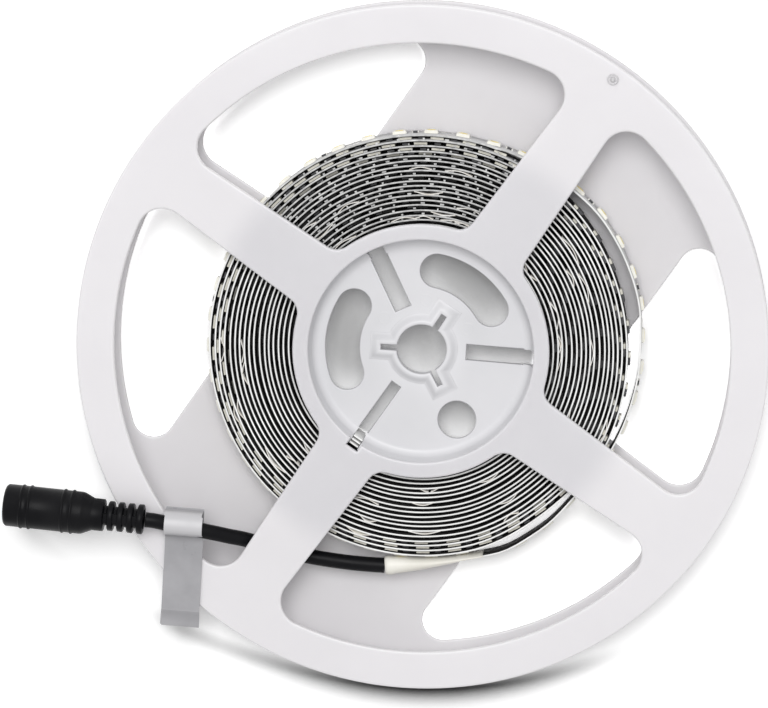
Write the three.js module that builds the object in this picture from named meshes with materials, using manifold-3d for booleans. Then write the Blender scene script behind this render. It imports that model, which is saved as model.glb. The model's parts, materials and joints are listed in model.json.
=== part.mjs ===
// A reel of LED strip light: a two-part moulded reel, the wound strip with its outermost LEDs and
// resistors, the short lead with its barrel socket, and the tape that holds the lead to the rim.
// Millimetres, +Z up. The reel lies on its back flange, and the origin is on its axis at that face.
import * as THREE from "three";
import { mergeVertices } from "three/addons/utils/BufferGeometryUtils.js";
import Module from "manifold-3d";

const wasm = await Module();
wasm.setup();

// Reel, both flanges
const FLANGE_RADIUS = 90;
const FLANGE_THICKNESS = 1.5;
const FLANGE_GAP = 11.2;
const RIM_WIDTH = 9.9;
const SPOKE_ANGLE = 55;
const SPOKE_COUNT = 4;
const SPOKE_WIDTH_AT_HUB = 17;
const SPOKE_WIDTH_AT_RIM = 14;
const WINDOW_RIM_FILLET = 6.5;

// Front flange only
const WINDOW_HUB_FILLET = 4.5;

// Back flange only: a solid band across the middle replaces two of the spokes
const BAND_WIDTH = 83;
const BAND_RIM_FILLET = 5.5;
const BAND_SPOKE_FILLET = 5;

// Hub
const HUB_RADIUS = 31.2;
const HUB_WALL = 1.9;
const HUB_TO_WINDOW = 2.2;
const SKIRT_THICKNESS = 0.8;
const SKIRT_DEPTH = 3;
const SKIRT_CLEARANCE = 0.3;
const FLOOR_DEPTH = 5.5;
const FLOOR_THICKNESS = 1.8;

// Features of the hub floor
const ARBOR_RADIUS = 6.5;
const KEY_SLOT_WIDTH = 1.5;
const KEY_SLOT_REACH = 10.7;
const KEY_SLOT_ANGLES = [177, 57, -63];
const BOSS_WALL = 2;
const BOSS_HEIGHT = 1.5;
const TAIL_SLOTS = [{ angle: 115, width: 4.6 }, { angle: -4, width: 4.2 }, { angle: 235, width: 2.9 }];
const TAIL_SLOT_START = 11.7;
const TAIL_SLOT_RISE = 0.4;
const KIDNEY_RADIUS = 20.8;
const KIDNEY_WIDTH = 9;
const KIDNEY_ANGLES = [[148, 199], [30, 79]];
const ROUND_HOLE_RADIUS = 5;
const ROUND_HOLE_AT = { radius: 20.9, angle: -64 };

// Wound strip
const STRIP_WIDTH = 8;
const STRIP_THICKNESS = 0.35;
const ROLL_CLEARANCE = 0.3;
const ROLL_OUTER_RADIUS = 56.2;
const ROLL_PITCH = 1.5;
const ROOT_ANGLE = 70;

// The loose outer end, as [angle in degrees, height of its outer face over the roll's outer radius]
const TAIL = [
  [-74.2, 1.3], [-68, 1.8], [-60, 1.2], [-54, 0.8], [-44, -0.3], [-35, -0.25], [-27, 0], [-14, 0.3],
  [-7, 0.6], [4, 1], [12, 1.7], [21, 1.9], [30, 2], [38, 2], [47, 1.4], [56, 0.9], [64, 0.5],
  [ROOT_ANGLE, 0.25],
];

// LED packages and chip resistors on the outermost turn
const LED = { length: 3.5, width: 2.8, height: 0.8 };
const LED_COUNT = 36;
const LED_FIRST_ANGLE = -63.4;
const LED_STEP_ANGLE = 8.4;
const LEDS_PER_RESISTOR = 3;
const RESISTOR = { length: 2, width: 1.25, height: 0.5 };
const SOLDER_GAP = 0.15;

// Lead, with its sleeve, socket and holding tape
const LEAD_DIAMETER = 4;
const LEAD_SIDES = 10;
const LEAD_STEPS = 18;
const PIECE_GAP = 0.3;
const LEAD_ROUTE = [
  [-10.02, -58.81, 5.5], [-14.5, -58.6, 5.5], [-19.15, -58.2, 5.6], [-24.4, -57.5, 5.9],
  [-29.43, -56.62, 6.3], [-33.8, -55.6, 6.9], [-38.04, -54.43, 7.6], [-41.5, -53.2, 8.5],
  [-44.7, -51.94, 9.7], [-47.5, -50.95, 11.1], [-50.3, -50.1, 12.6], [-53.3, -49.1, 14.2],
  [-56.5, -48.14, 15.6], [-59.1, -47.4, 16.3], [-61.75, -46.8, 16.6], [-64.4, -46.25, 16.75],
  [-66.9, -45.78, 17.2], [-69.4, -45.12, 17.9], [-71.75, -44.79, 18.25],
];
const SLEEVE_LEAD_END = [-9.72, -58.78];
const SLEEVE_MIDDLE = [2.1, -57.6];
const SLEEVE_LEAD_RADIUS = 2.45;
const SLEEVE_STRIP_SIZE = { thickness: 1.1, width: 8.5 };
const SLEEVE_LIFT = 0.35;
const SLEEVE_SIDES = 20;
const SLEEVE_SECTIONS = 9;

// Socket: distances along its axis from the end of the strain relief
const SOCKET_START = [-72.24, -44.73, 18.3];
const SOCKET_TIP = [-108.76, -41.49, 17.6];
const SOCKET_RADIUS = 5.55;
const SOCKET_RIB_RADIUS = 3.95;
const SOCKET_RIBS = [0, 2.5, 5, 7.6];
const SOCKET_RIB_THICKNESS = 1.6;
const SOCKET_CORE_RADIUS = 2.7;
const COLLAR = { start: 10.2, end: 13.3, radius: 4.25 };
const SOCKET_TAPER_END = 15.9;
const GRIP_RINGS = [18.4, 20.7, 29.6, 31.7];
const GRIP_RING = { width: 0.8, height: 0.2 };
const SOCKET_CHAMFER = 0.5;
const INSERT_RADIUS = 4.2;
const INSERT_LENGTH = 12.4;
const INSERT_BASE = 2.5;
const INSERT_RECESS = 0.2;
const BARREL_BORE_RADIUS = 2.9;
const PIN_RADIUS = 1.05;
const PIN_RECESS = 1.4;
const SPRING = { thickness: 0.3, width: 1.6, length: 7.6, radius: 2.25, bow: 0.35, steps: 8 };

// Holding tape, folded round lead and rim. Along its length, 0 is where it crosses the lead.
const TAPE_WIDTH = 10;
const TAPE_THICKNESS = 0.3;
const TAPE_CENTRE = [-61.8, -46.85];
const TAPE_HEADING = -93.5;
const TAPE_ARCH_HALF = 3.7;
const TAPE_ARCH_OVER_LEAD = 1;
const TAPE_ARCH_STEP = 20;
const TAPE_FOOT = { start: 1.6, end: 3, rise: 0.3 };
const TAPE_FOLD = 0.8;
const TAPE_LEAD_HEIGHT = 16.6;
const TAPE_LENGTH = 27.6;
const TAPE_JOIN_START = 23.2;
const TAPE_JOIN_END = 26;
const TAPE_LAYER_GAP = 0.14;

// Fineness of round outlines, in degrees of arc per step
const RIM_STEP = 3;
const HUB_STEP = 4;
const FILLET_STEP = 15;
const SMALL_SIDES = 24;

// Heights and radii worked out from the sizes above
const REEL_HEIGHT = 2 * FLANGE_THICKNESS + FLANGE_GAP;
const FRONT_FLANGE_BOTTOM = REEL_HEIGHT - FLANGE_THICKNESS;
const WINDOW_OUTER_RADIUS = FLANGE_RADIUS - RIM_WIDTH;
const FLANGE_HUB_RADIUS = HUB_RADIUS + HUB_TO_WINDOW;
const HUB_BORE_RADIUS = HUB_RADIUS - HUB_WALL;
const FLOOR_TOP = REEL_HEIGHT - FLOOR_DEPTH;
const FLOOR_BOTTOM = FLOOR_TOP - FLOOR_THICKNESS;
const STRIP_BOTTOM = FLANGE_THICKNESS;
const STRIP_MIDDLE = STRIP_BOTTOM + STRIP_WIDTH / 2;

const radians = THREE.MathUtils.degToRad;
const material = (color, roughness, metalness = 0) =>
  new THREE.MeshStandardMaterial({ color, roughness, metalness });
const WHITE_PLASTIC = material(0xe6e5ea, 0.4);
const WHITE_SLEEVE = material(0xeceade, 0.5);
const STRIP_DARK = material(0x2b2b2e, 0.6);
const LED_PLASTIC = material(0xf2e2a0, 0.35);
const RESISTOR_BLACK = material(0x1c1c1e, 0.4);
const BLACK_PVC = material(0x151516, 0.5);
const NICKEL = material(0xb9b9bd, 0.3, 1);
const GREY_TAPE = material(0xa2a3a6, 0.45);

// A closed solid from a geometry whose shared vertices are merged.
function solid(geometry) {
  const bare = geometry.clone();
  bare.deleteAttribute("normal");
  bare.deleteAttribute("uv");
  const merged = mergeVertices(bare, 1e-4);
  return new wasm.Manifold(new wasm.Mesh({
    numProp: 3,
    vertProperties: new Float32Array(merged.attributes.position.array),
    triVerts: new Uint32Array(merged.index.array),
  }));
}

function geometryOf(manifold) {
  const mesh = manifold.getMesh();
  const geometry = new THREE.BufferGeometry();
  geometry.setAttribute("position", new THREE.BufferAttribute(mesh.vertProperties, 3));
  geometry.setIndex(new THREE.BufferAttribute(mesh.triVerts, 1));
  geometry.computeVertexNormals();
  return geometry;
}

function addPiece(parent, name, geometry, finish) {
  const mesh = new THREE.Mesh(geometry, finish);
  mesh.name = name;
  parent.add(mesh);
  return mesh;
}

function polar(radius, angle) {
  return new THREE.Vector2(radius * Math.cos(radians(angle)), radius * Math.sin(radians(angle)));
}

const angleOf = (point) => THREE.MathUtils.radToDeg(Math.atan2(point.y, point.x));

// Points along a round stretch, both ends included.
function arc(centre, radius, from, to, step) {
  const count = Math.max(1, Math.round(Math.abs(to - from) / step));
  const points = [];
  for (let i = 0; i <= count; i += 1) {
    points.push(polar(radius, from + ((to - from) * i) / count).add(centre));
  }
  return points;
}

const ORIGIN = new THREE.Vector2(0, 0);
const circle = (radius, step) => arc(ORIGIN, radius, 0, 360, step).slice(0, -1);

// An outline with holes, raised from one height to another.
function plate(outline, holes, bottom, top) {
  const shape = new THREE.Shape(outline);
  shape.holes = holes.map((hole) => new THREE.Path(hole));
  const geometry = new THREE.ExtrudeGeometry(shape, { depth: top - bottom, bevelEnabled: false });
  return geometry.translate(0, 0, bottom);
}

// A solid of revolution about Z from [radius, height] points, given up the outside and down the inside.
function turned(profile, sides) {
  const points = profile.map(([radius, height]) => new THREE.Vector2(radius, height));
  return new THREE.LatheGeometry(points, sides).rotateX(Math.PI / 2);
}

function ring(inner, outer, bottom, top, step) {
  return plate(circle(outer, step), [circle(inner, step)], bottom, top);
}

// A straight edge, held as the angle of its normal, which points into the window, and its distance.
function spokeEdge() {
  const hubHalf = SPOKE_WIDTH_AT_HUB / 2;
  const rimHalf = SPOKE_WIDTH_AT_RIM / 2;
  const slope = Math.atan2(rimHalf - hubHalf, WINDOW_OUTER_RADIUS - FLANGE_HUB_RADIUS);
  return {
    normal: 90 + THREE.MathUtils.radToDeg(slope),
    distance: hubHalf * Math.cos(slope) - FLANGE_HUB_RADIUS * Math.sin(slope),
  };
}

// The centre of a fillet between an edge and a circle about the axis. side is 1 where the window
// lies anticlockwise of the edge and -1 where it lies clockwise.
function filletCentre(edge, side, fillet, circleRadius) {
  const across = edge.distance + fillet;
  const along = Math.sqrt(circleRadius ** 2 - across ** 2);
  return polar(across, edge.normal).add(polar(along, edge.normal - 90 * side));
}

// A front window, between one spoke and the next, with the first spoke along X.
function frontWindow() {
  const spacing = 360 / SPOKE_COUNT;
  const first = spokeEdge();
  const second = { normal: spacing - first.normal, distance: first.distance };
  const rimRadius = WINDOW_OUTER_RADIUS - WINDOW_RIM_FILLET;
  const hubRadius = FLANGE_HUB_RADIUS + WINDOW_HUB_FILLET;
  const rimA = filletCentre(first, 1, WINDOW_RIM_FILLET, rimRadius);
  const rimB = filletCentre(second, -1, WINDOW_RIM_FILLET, rimRadius);
  const hubB = filletCentre(second, -1, WINDOW_HUB_FILLET, hubRadius);
  const hubA = filletCentre(first, 1, WINDOW_HUB_FILLET, hubRadius);
  return [
    ...arc(rimA, WINDOW_RIM_FILLET, first.normal - 180, angleOf(rimA), FILLET_STEP),
    ...arc(ORIGIN, WINDOW_OUTER_RADIUS, angleOf(rimA), angleOf(rimB), RIM_STEP).slice(1, -1),
    ...arc(rimB, WINDOW_RIM_FILLET, angleOf(rimB), second.normal + 180, FILLET_STEP),
    ...arc(hubB, WINDOW_HUB_FILLET, second.normal + 180, angleOf(hubB) + 180, FILLET_STEP),
    ...arc(ORIGIN, FLANGE_HUB_RADIUS, angleOf(hubB), angleOf(hubA), HUB_STEP).slice(1, -1),
    ...arc(hubA, WINDOW_HUB_FILLET, angleOf(hubA) + 180, first.normal + 180, FILLET_STEP),
  ];
}

// A back window, between the spoke along X, the rim and the band's straight edge across X.
function backWindow() {
  const spoke = spokeEdge();
  const band = { normal: 0, distance: BAND_WIDTH / 2 };
  const rimA = filletCentre(spoke, 1, WINDOW_RIM_FILLET, WINDOW_OUTER_RADIUS - WINDOW_RIM_FILLET);
  const rimB = filletCentre(band, -1, BAND_RIM_FILLET, WINDOW_OUTER_RADIUS - BAND_RIM_FILLET);
  const cornerX = band.distance + BAND_SPOKE_FILLET;
  const cornerAcross = spoke.distance + BAND_SPOKE_FILLET;
  const slope = radians(spoke.normal - 90);
  const corner = new THREE.Vector2(cornerX, cornerAcross / Math.cos(slope) + cornerX * Math.tan(slope));
  return [
    ...arc(rimA, WINDOW_RIM_FILLET, spoke.normal - 180, angleOf(rimA), FILLET_STEP),
    ...arc(ORIGIN, WINDOW_OUTER_RADIUS, angleOf(rimA), angleOf(rimB), RIM_STEP).slice(1, -1),
    ...arc(rimB, BAND_RIM_FILLET, angleOf(rimB), 180, FILLET_STEP),
    ...arc(corner, BAND_SPOKE_FILLET, 180, spoke.normal + 180, FILLET_STEP),
  ];
}

const turnOutline = (outline, angle) =>
  outline.map((point) => point.clone().rotateAround(ORIGIN, radians(angle)));
const mirrorOutline = (outline) =>
  outline.map((point) => new THREE.Vector2(point.x, -point.y)).reverse();

// A slot or wall with square ends along a ray from the axis.
function bar(angle, from, to, width, bottom, top) {
  const box = new THREE.BoxGeometry(to - from, width, top - bottom);
  box.translate((from + to) / 2, 0, (bottom + top) / 2);
  return box.rotateZ(radians(angle));
}

function kidneyOutline([from, to]) {
  const half = KIDNEY_WIDTH / 2;
  return [
    ...arc(ORIGIN, KIDNEY_RADIUS + half, from, to, HUB_STEP),
    ...arc(polar(KIDNEY_RADIUS, to), half, to, to + 180, FILLET_STEP).slice(1, -1),
    ...arc(ORIGIN, KIDNEY_RADIUS - half, to, from, HUB_STEP),
    ...arc(polar(KIDNEY_RADIUS, from), half, from + 180, from + 360, FILLET_STEP).slice(1, -1),
  ];
}

function reelBack() {
  const windows = [];
  for (const side of [90, -90]) {
    const outline = backWindow();
    windows.push(turnOutline(outline, SPOKE_ANGLE + side));
    windows.push(turnOutline(mirrorOutline(outline), SPOKE_ANGLE + side));
  }
  const bore = circle(HUB_BORE_RADIUS, HUB_STEP);
  const flange = plate(circle(FLANGE_RADIUS, RIM_STEP), [...windows, bore], 0, FLANGE_THICKNESS);
  const skirtSeat = HUB_BORE_RADIUS + SKIRT_THICKNESS + SKIRT_CLEARANCE;
  const seatBottom = FRONT_FLANGE_BOTTOM - SKIRT_DEPTH - SKIRT_CLEARANCE;
  const wall = ring(HUB_BORE_RADIUS, HUB_RADIUS, 0, seatBottom, HUB_STEP);
  const wallTop = ring(skirtSeat, HUB_RADIUS, seatBottom, FRONT_FLANGE_BOTTOM, HUB_STEP);
  const floor = plate(circle(HUB_RADIUS, HUB_STEP), [], FLOOR_BOTTOM, FLOOR_TOP);
  const bossTop = FLOOR_TOP + BOSS_HEIGHT;
  let body = solid(flange).add(solid(wall)).add(solid(wallTop)).add(solid(floor));
  body = body.add(solid(plate(circle(ARBOR_RADIUS + BOSS_WALL, HUB_STEP * 2), [], FLOOR_BOTTOM, bossTop)));
  for (const angle of KEY_SLOT_ANGLES) {
    const bossReach = KEY_SLOT_REACH + BOSS_WALL;
    const bossWidth = KEY_SLOT_WIDTH + 2 * BOSS_WALL;
    body = body.add(solid(bar(angle, ARBOR_RADIUS, bossReach, bossWidth, FLOOR_BOTTOM, bossTop)));
  }
  const below = FLOOR_BOTTOM - 1;
  const above = bossTop + 1;
  body = body.subtract(solid(plate(circle(ARBOR_RADIUS, HUB_STEP * 2), [], below, above)));
  for (const angle of KEY_SLOT_ANGLES) {
    body = body.subtract(solid(bar(angle, 0, KEY_SLOT_REACH, KEY_SLOT_WIDTH, below, above)));
  }
  for (const slot of TAIL_SLOTS) {
    const slotTop = FLOOR_TOP + TAIL_SLOT_RISE;
    body = body.subtract(solid(bar(slot.angle, TAIL_SLOT_START, HUB_RADIUS + 1, slot.width, below, slotTop)));
  }
  for (const ends of KIDNEY_ANGLES) {
    body = body.subtract(solid(plate(kidneyOutline(ends), [], below, above)));
  }
  const holeCentre = polar(ROUND_HOLE_AT.radius, ROUND_HOLE_AT.angle);
  const hole = arc(holeCentre, ROUND_HOLE_RADIUS, 0, 360, FILLET_STEP).slice(0, -1);
  return geometryOf(body.subtract(solid(plate(hole, [], below, above))));
}

function reelFront() {
  const windows = [];
  for (let i = 0; i < SPOKE_COUNT; i += 1) {
    windows.push(turnOutline(frontWindow(), SPOKE_ANGLE + (360 / SPOKE_COUNT) * i));
  }
  const bore = circle(HUB_BORE_RADIUS, HUB_STEP);
  const rim = circle(FLANGE_RADIUS, RIM_STEP);
  const flange = plate(rim, [...windows, bore], FRONT_FLANGE_BOTTOM, REEL_HEIGHT);
  const skirtOuter = HUB_BORE_RADIUS + SKIRT_THICKNESS;
  const skirtBottom = FRONT_FLANGE_BOTTOM - SKIRT_DEPTH;
  const skirt = ring(HUB_BORE_RADIUS, skirtOuter, skirtBottom, FRONT_FLANGE_BOTTOM, HUB_STEP);
  return geometryOf(solid(flange).add(solid(skirt)));
}

// Radius of the tail's outer face, by a smooth curve through the chosen points.
function tailRadius(angle) {
  let i = TAIL.findIndex(([at]) => at >= angle);
  i = Math.min(Math.max(i, 1), TAIL.length - 1);
  const [a0, lift0] = TAIL[i - 1];
  const [a1, lift1] = TAIL[i];
  const slopeAt = (k) => {
    const before = TAIL[Math.max(k - 1, 0)];
    const after = TAIL[Math.min(k + 1, TAIL.length - 1)];
    return (after[1] - before[1]) / (after[0] - before[0]);
  };
  const span = a1 - a0;
  const t = (angle - a0) / span;
  const ease = t * t * (3 - 2 * t);
  const start = t * (1 - t) * (1 - t) * span * slopeAt(i - 1);
  const finish = t * t * (t - 1) * span * slopeAt(i);
  return ROLL_OUTER_RADIUS + lift0 + (lift1 - lift0) * ease + start + finish;
}

// Radius of the wound roll's outside, one pitch less after each full turn.
const rollRadius = (angle) => ROLL_OUTER_RADIUS - (ROLL_PITCH * (angle - ROOT_ANGLE)) / 360;
const outerFace = (angle) => (angle < ROOT_ANGLE ? tailRadius(angle) : rollRadius(angle));

function stripRoll() {
  const tailEnd = TAIL[0][0];
  const tailSteps = Math.round((ROOT_ANGLE - tailEnd) / RIM_STEP);
  const outline = [];
  for (let i = 0; i < tailSteps; i += 1) {
    const angle = tailEnd + ((ROOT_ANGLE - tailEnd) * i) / tailSteps;
    outline.push(polar(tailRadius(angle), angle));
  }
  const turnSteps = Math.round(360 / RIM_STEP);
  for (let i = 0; i < turnSteps; i += 1) {
    const angle = ROOT_ANGLE + (360 * i) / turnSteps;
    outline.push(polar(rollRadius(angle), angle));
  }
  for (let i = tailSteps - 1; i >= 0; i -= 1) {
    const angle = tailEnd + ((ROOT_ANGLE - tailEnd) * i) / tailSteps;
    outline.push(polar(tailRadius(angle) - STRIP_THICKNESS, angle));
  }
  const eye = circle(HUB_RADIUS + ROLL_CLEARANCE, HUB_STEP);
  return plate(outline, [eye], STRIP_BOTTOM, STRIP_BOTTOM + STRIP_WIDTH);
}

// A small part on the outermost turn's face, square to it.
function addOnStrip(parent, name, size, angle, finish) {
  const spread = size.length / 2 / ROLL_OUTER_RADIUS;
  const reach = THREE.MathUtils.radToDeg(spread);
  const before = polar(outerFace(angle - reach), angle - reach);
  const after = polar(outerFace(angle + reach), angle + reach);
  const along = after.sub(before);
  const lift = SOLDER_GAP + size.height / 2;
  const centre = polar(outerFace(angle), angle);
  const outward = new THREE.Vector2(along.y, -along.x).normalize();
  const box = new THREE.BoxGeometry(size.height, size.length, size.width);
  const piece = addPiece(parent, name, box, finish);
  piece.position.set(centre.x + outward.x * lift, centre.y + outward.y * lift, STRIP_MIDDLE);
  piece.rotation.z = Math.atan2(outward.y, outward.x);
}

// A closed solid through sections that all have the same number of points, given in order.
function lofted(sections) {
  const sides = sections[0].length;
  const positions = sections.flat().flatMap((point) => [point.x, point.y, point.z]);
  const index = [];
  for (let s = 0; s + 1 < sections.length; s += 1) {
    for (let i = 0; i < sides; i += 1) {
      const a = s * sides + i;
      const b = s * sides + ((i + 1) % sides);
      index.push(a, b, b + sides, a, b + sides, a + sides);
    }
  }
  const last = (sections.length - 1) * sides;
  for (let i = 1; i + 1 < sides; i += 1) {
    index.push(0, i + 1, i, last, last + i, last + i + 1);
  }
  const geometry = new THREE.BufferGeometry();
  geometry.setAttribute("position", new THREE.Float32BufferAttribute(positions, 3));
  geometry.setIndex(index);
  geometry.computeVertexNormals();
  return geometry;
}

// Round at the lead, flat and tall at the strip.
function solderSleeve() {
  const tailAngle = TAIL[0][0];
  const stripEnd = polar(tailRadius(tailAngle) - STRIP_THICKNESS / 2, tailAngle);
  const middle = new THREE.Vector2(...SLEEVE_MIDDLE);
  const leadEnd = new THREE.Vector2(...SLEEVE_LEAD_END);
  const away = middle.clone().sub(stripEnd).setLength(PIECE_GAP);
  const path = new THREE.SplineCurve([leadEnd, middle, stripEnd.add(away)]);
  const sections = [];
  for (let s = 0; s < SLEEVE_SECTIONS; s += 1) {
    const t = s / (SLEEVE_SECTIONS - 1);
    const centre = path.getPoint(t);
    const tangent = path.getTangent(t);
    const across = new THREE.Vector2(-tangent.y, tangent.x);
    const halfAcross = THREE.MathUtils.lerp(SLEEVE_LEAD_RADIUS, SLEEVE_STRIP_SIZE.thickness / 2, t);
    const halfUp = THREE.MathUtils.lerp(SLEEVE_LEAD_RADIUS, SLEEVE_STRIP_SIZE.width / 2, t);
    const section = [];
    for (let i = 0; i < SLEEVE_SIDES; i += 1) {
      const turn = (2 * Math.PI * i) / SLEEVE_SIDES;
      const side = halfAcross * Math.cos(turn);
      section.push(new THREE.Vector3(
        centre.x + across.x * side,
        centre.y + across.y * side,
        STRIP_MIDDLE + SLEEVE_LIFT * t + halfUp * Math.sin(turn),
      ));
    }
    sections.push(section);
  }
  return lofted(sections);
}

function leadCable() {
  const path = new THREE.CatmullRomCurve3(LEAD_ROUTE.map((point) => new THREE.Vector3(...point)));
  const section = new THREE.Shape(circle(LEAD_DIAMETER / 2, 360 / LEAD_SIDES));
  return new THREE.ExtrudeGeometry(section, { steps: LEAD_STEPS, extrudePath: path });
}

function socketLength() {
  return new THREE.Vector3(...SOCKET_TIP).distanceTo(new THREE.Vector3(...SOCKET_START));
}

// The soft moulded body: ribs of the strain relief, collar, taper, grip rings and the mouth's bore.
function socketBody() {
  const length = socketLength();
  const profile = [[0, 0]];
  for (const start of SOCKET_RIBS) {
    const end = start + SOCKET_RIB_THICKNESS;
    profile.push([SOCKET_CORE_RADIUS, start], [SOCKET_RIB_RADIUS, start]);
    profile.push([SOCKET_RIB_RADIUS, end], [SOCKET_CORE_RADIUS, end]);
  }
  profile.push([SOCKET_CORE_RADIUS, COLLAR.start], [COLLAR.radius, COLLAR.start]);
  profile.push([COLLAR.radius, COLLAR.end], [SOCKET_RADIUS, SOCKET_TAPER_END]);
  for (const start of GRIP_RINGS) {
    const raised = SOCKET_RADIUS + GRIP_RING.height;
    profile.push([SOCKET_RADIUS, start], [raised, start]);
    profile.push([raised, start + GRIP_RING.width], [SOCKET_RADIUS, start + GRIP_RING.width]);
  }
  const boreRadius = INSERT_RADIUS + PIECE_GAP;
  const boreFloor = length - INSERT_RECESS - INSERT_LENGTH - PIECE_GAP;
  profile.push([SOCKET_RADIUS, length - SOCKET_CHAMFER], [SOCKET_RADIUS - SOCKET_CHAMFER, length]);
  profile.push([boreRadius, length], [boreRadius, boreFloor], [0, boreFloor]);
  return turned(profile, SMALL_SIDES);
}

function socketInsert() {
  const top = socketLength() - INSERT_RECESS;
  const bottom = top - INSERT_LENGTH;
  const hole = PIN_RADIUS + PIECE_GAP;
  const base = bottom + INSERT_BASE;
  return turned([
    [hole, bottom], [INSERT_RADIUS, bottom], [INSERT_RADIUS, top], [BARREL_BORE_RADIUS, top],
    [BARREL_BORE_RADIUS, base], [hole, base], [hole, bottom],
  ], SMALL_SIDES);
}

function centrePin() {
  const top = socketLength() - PIN_RECESS;
  const bottom = socketLength() - INSERT_RECESS - INSERT_LENGTH;
  const tip = PIN_RADIUS / 2;
  return turned([
    [0, bottom], [PIN_RADIUS, bottom], [PIN_RADIUS, top - tip], [tip, top], [0, top],
  ], SMALL_SIDES / 2);
}

// A leaf along the barrel's wall that bows in towards the pin.
function springContact() {
  const start = socketLength() - INSERT_RECESS - INSERT_LENGTH + INSERT_BASE + PIECE_GAP;
  const half = SPRING.thickness / 2;
  const inner = [];
  const outer = [];
  for (let i = 0; i <= SPRING.steps; i += 1) {
    const t = i / SPRING.steps;
    const radius = SPRING.radius - SPRING.bow * Math.sin(Math.PI * t);
    inner.push(new THREE.Vector2(radius - half, start + SPRING.length * t));
    outer.push(new THREE.Vector2(radius + half, start + SPRING.length * t));
  }
  const leaf = plate([...inner, ...outer.reverse()], [], -SPRING.width / 2, SPRING.width / 2);
  return leaf.rotateX(Math.PI / 2);
}

// The outline of a thin band along an open line.
function bandOutline(line, thickness) {
  const half = thickness / 2;
  const left = [];
  const right = [];
  line.forEach((point, i) => {
    const before = line[Math.max(i - 1, 0)];
    const after = line[Math.min(i + 1, line.length - 1)];
    const along = after.clone().sub(before).normalize();
    const across = new THREE.Vector2(-along.y, along.x).multiplyScalar(half);
    left.push(point.clone().add(across));
    right.push(point.clone().sub(across));
  });
  return [...left, ...right.reverse()];
}

// One length of tape: out over the rim, up over the lead, down through the window and back under.
function holdingTape() {
  const half = TAPE_THICKNESS / 2;
  const over = REEL_HEIGHT + PIECE_GAP + half;
  const under = FRONT_FLANGE_BOTTOM - PIECE_GAP - half;
  const joint = (over + under) / 2;
  const layer = half + TAPE_LAYER_GAP / 2;
  const archHeight = LEAD_DIAMETER / 2 + TAPE_ARCH_OVER_LEAD;
  const line = [[TAPE_LENGTH, joint + layer], [TAPE_JOIN_END, joint + layer], [TAPE_JOIN_START, over]];
  line.push([TAPE_ARCH_HALF + TAPE_FOOT.end, over]);
  line.push([TAPE_ARCH_HALF + TAPE_FOOT.start, over + TAPE_FOOT.rise]);
  for (let angle = TAPE_ARCH_STEP; angle <= 180; angle += TAPE_ARCH_STEP) {
    const along = TAPE_ARCH_HALF * Math.cos(radians(angle));
    line.push([along, TAPE_LEAD_HEIGHT + archHeight * Math.sin(radians(angle))]);
  }
  line.push([-TAPE_ARCH_HALF, under + TAPE_FOLD], [TAPE_FOLD - TAPE_ARCH_HALF, under]);
  line.push([TAPE_JOIN_START, under], [TAPE_JOIN_END, joint - layer], [TAPE_LENGTH, joint - layer]);
  const outline = bandOutline(line.map(([along, up]) => new THREE.Vector2(along, up)), TAPE_THICKNESS);
  const band = plate(outline, [], -TAPE_WIDTH / 2, TAPE_WIDTH / 2);
  return band.rotateX(Math.PI / 2);
}

const model = new THREE.Group();
const reel = new THREE.Group();
const strip = new THREE.Group();
const lead = new THREE.Group();
model.add(reel, strip, lead);

addPiece(reel, "reel_back_half", reelBack(), WHITE_PLASTIC);
addPiece(reel, "reel_front_half", reelFront(), WHITE_PLASTIC);

addPiece(strip, "strip_roll", stripRoll(), STRIP_DARK);
for (let i = 0; i < LED_COUNT; i += 1) {
  const number = String(i + 1).padStart(2, "0");
  const angle = LED_FIRST_ANGLE + LED_STEP_ANGLE * i;
  addOnStrip(strip, `led_${number}`, LED, angle, LED_PLASTIC);
  if (i % LEDS_PER_RESISTOR === 0) {
    const next = angle + LED_STEP_ANGLE / 2;
    const resistorNumber = String(1 + i / LEDS_PER_RESISTOR).padStart(2, "0");
    addOnStrip(strip, `resistor_${resistorNumber}`, RESISTOR, next, RESISTOR_BLACK);
  }
}

addPiece(lead, "solder_sleeve", solderSleeve(), WHITE_SLEEVE);
addPiece(lead, "lead_cable", leadCable(), BLACK_PVC);
const tape = addPiece(lead, "holding_tape", holdingTape(), GREY_TAPE);
tape.position.set(...TAPE_CENTRE, 0);
tape.rotation.z = radians(TAPE_HEADING);

const socket = new THREE.Group();
const socketAxis = new THREE.Vector3(...SOCKET_TIP).sub(new THREE.Vector3(...SOCKET_START)).normalize();
socket.position.set(...SOCKET_START);
socket.quaternion.setFromUnitVectors(new THREE.Vector3(0, 0, 1), socketAxis);
lead.add(socket);
addPiece(socket, "socket_body", socketBody(), BLACK_PVC);
addPiece(socket, "socket_insert", socketInsert(), BLACK_PVC);
addPiece(socket, "socket_centre_pin", centrePin(), NICKEL);
addPiece(socket, "socket_spring_contact", springContact(), NICKEL);

export default model;
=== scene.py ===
# %% [markdown]
# # The looks of a reel of LED strip light
#
# The real object is a 7 inch moulded plastic reel that carries 5 metres of LED strip, with a short lead
# to a barrel socket. Its solid parts come packed from CAD. This lesson dresses them: it keeps their frame
# and their sizes, and builds finer shapes over them, with rounded edges, the strip's separate turns, the
# small parts soldered on it, and the finishes.
# Lengths are written in millimetres, as in the CAD source, and are turned into metres where a mesh is
# made. That was chosen over metres everywhere, because a reader can check 1.5 mm of plastic more easily
# than 0.0015.

import json
import math
import random

import bpy
import numpy as np
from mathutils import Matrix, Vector
from mathutils.geometry import tessellate_polygon

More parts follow.
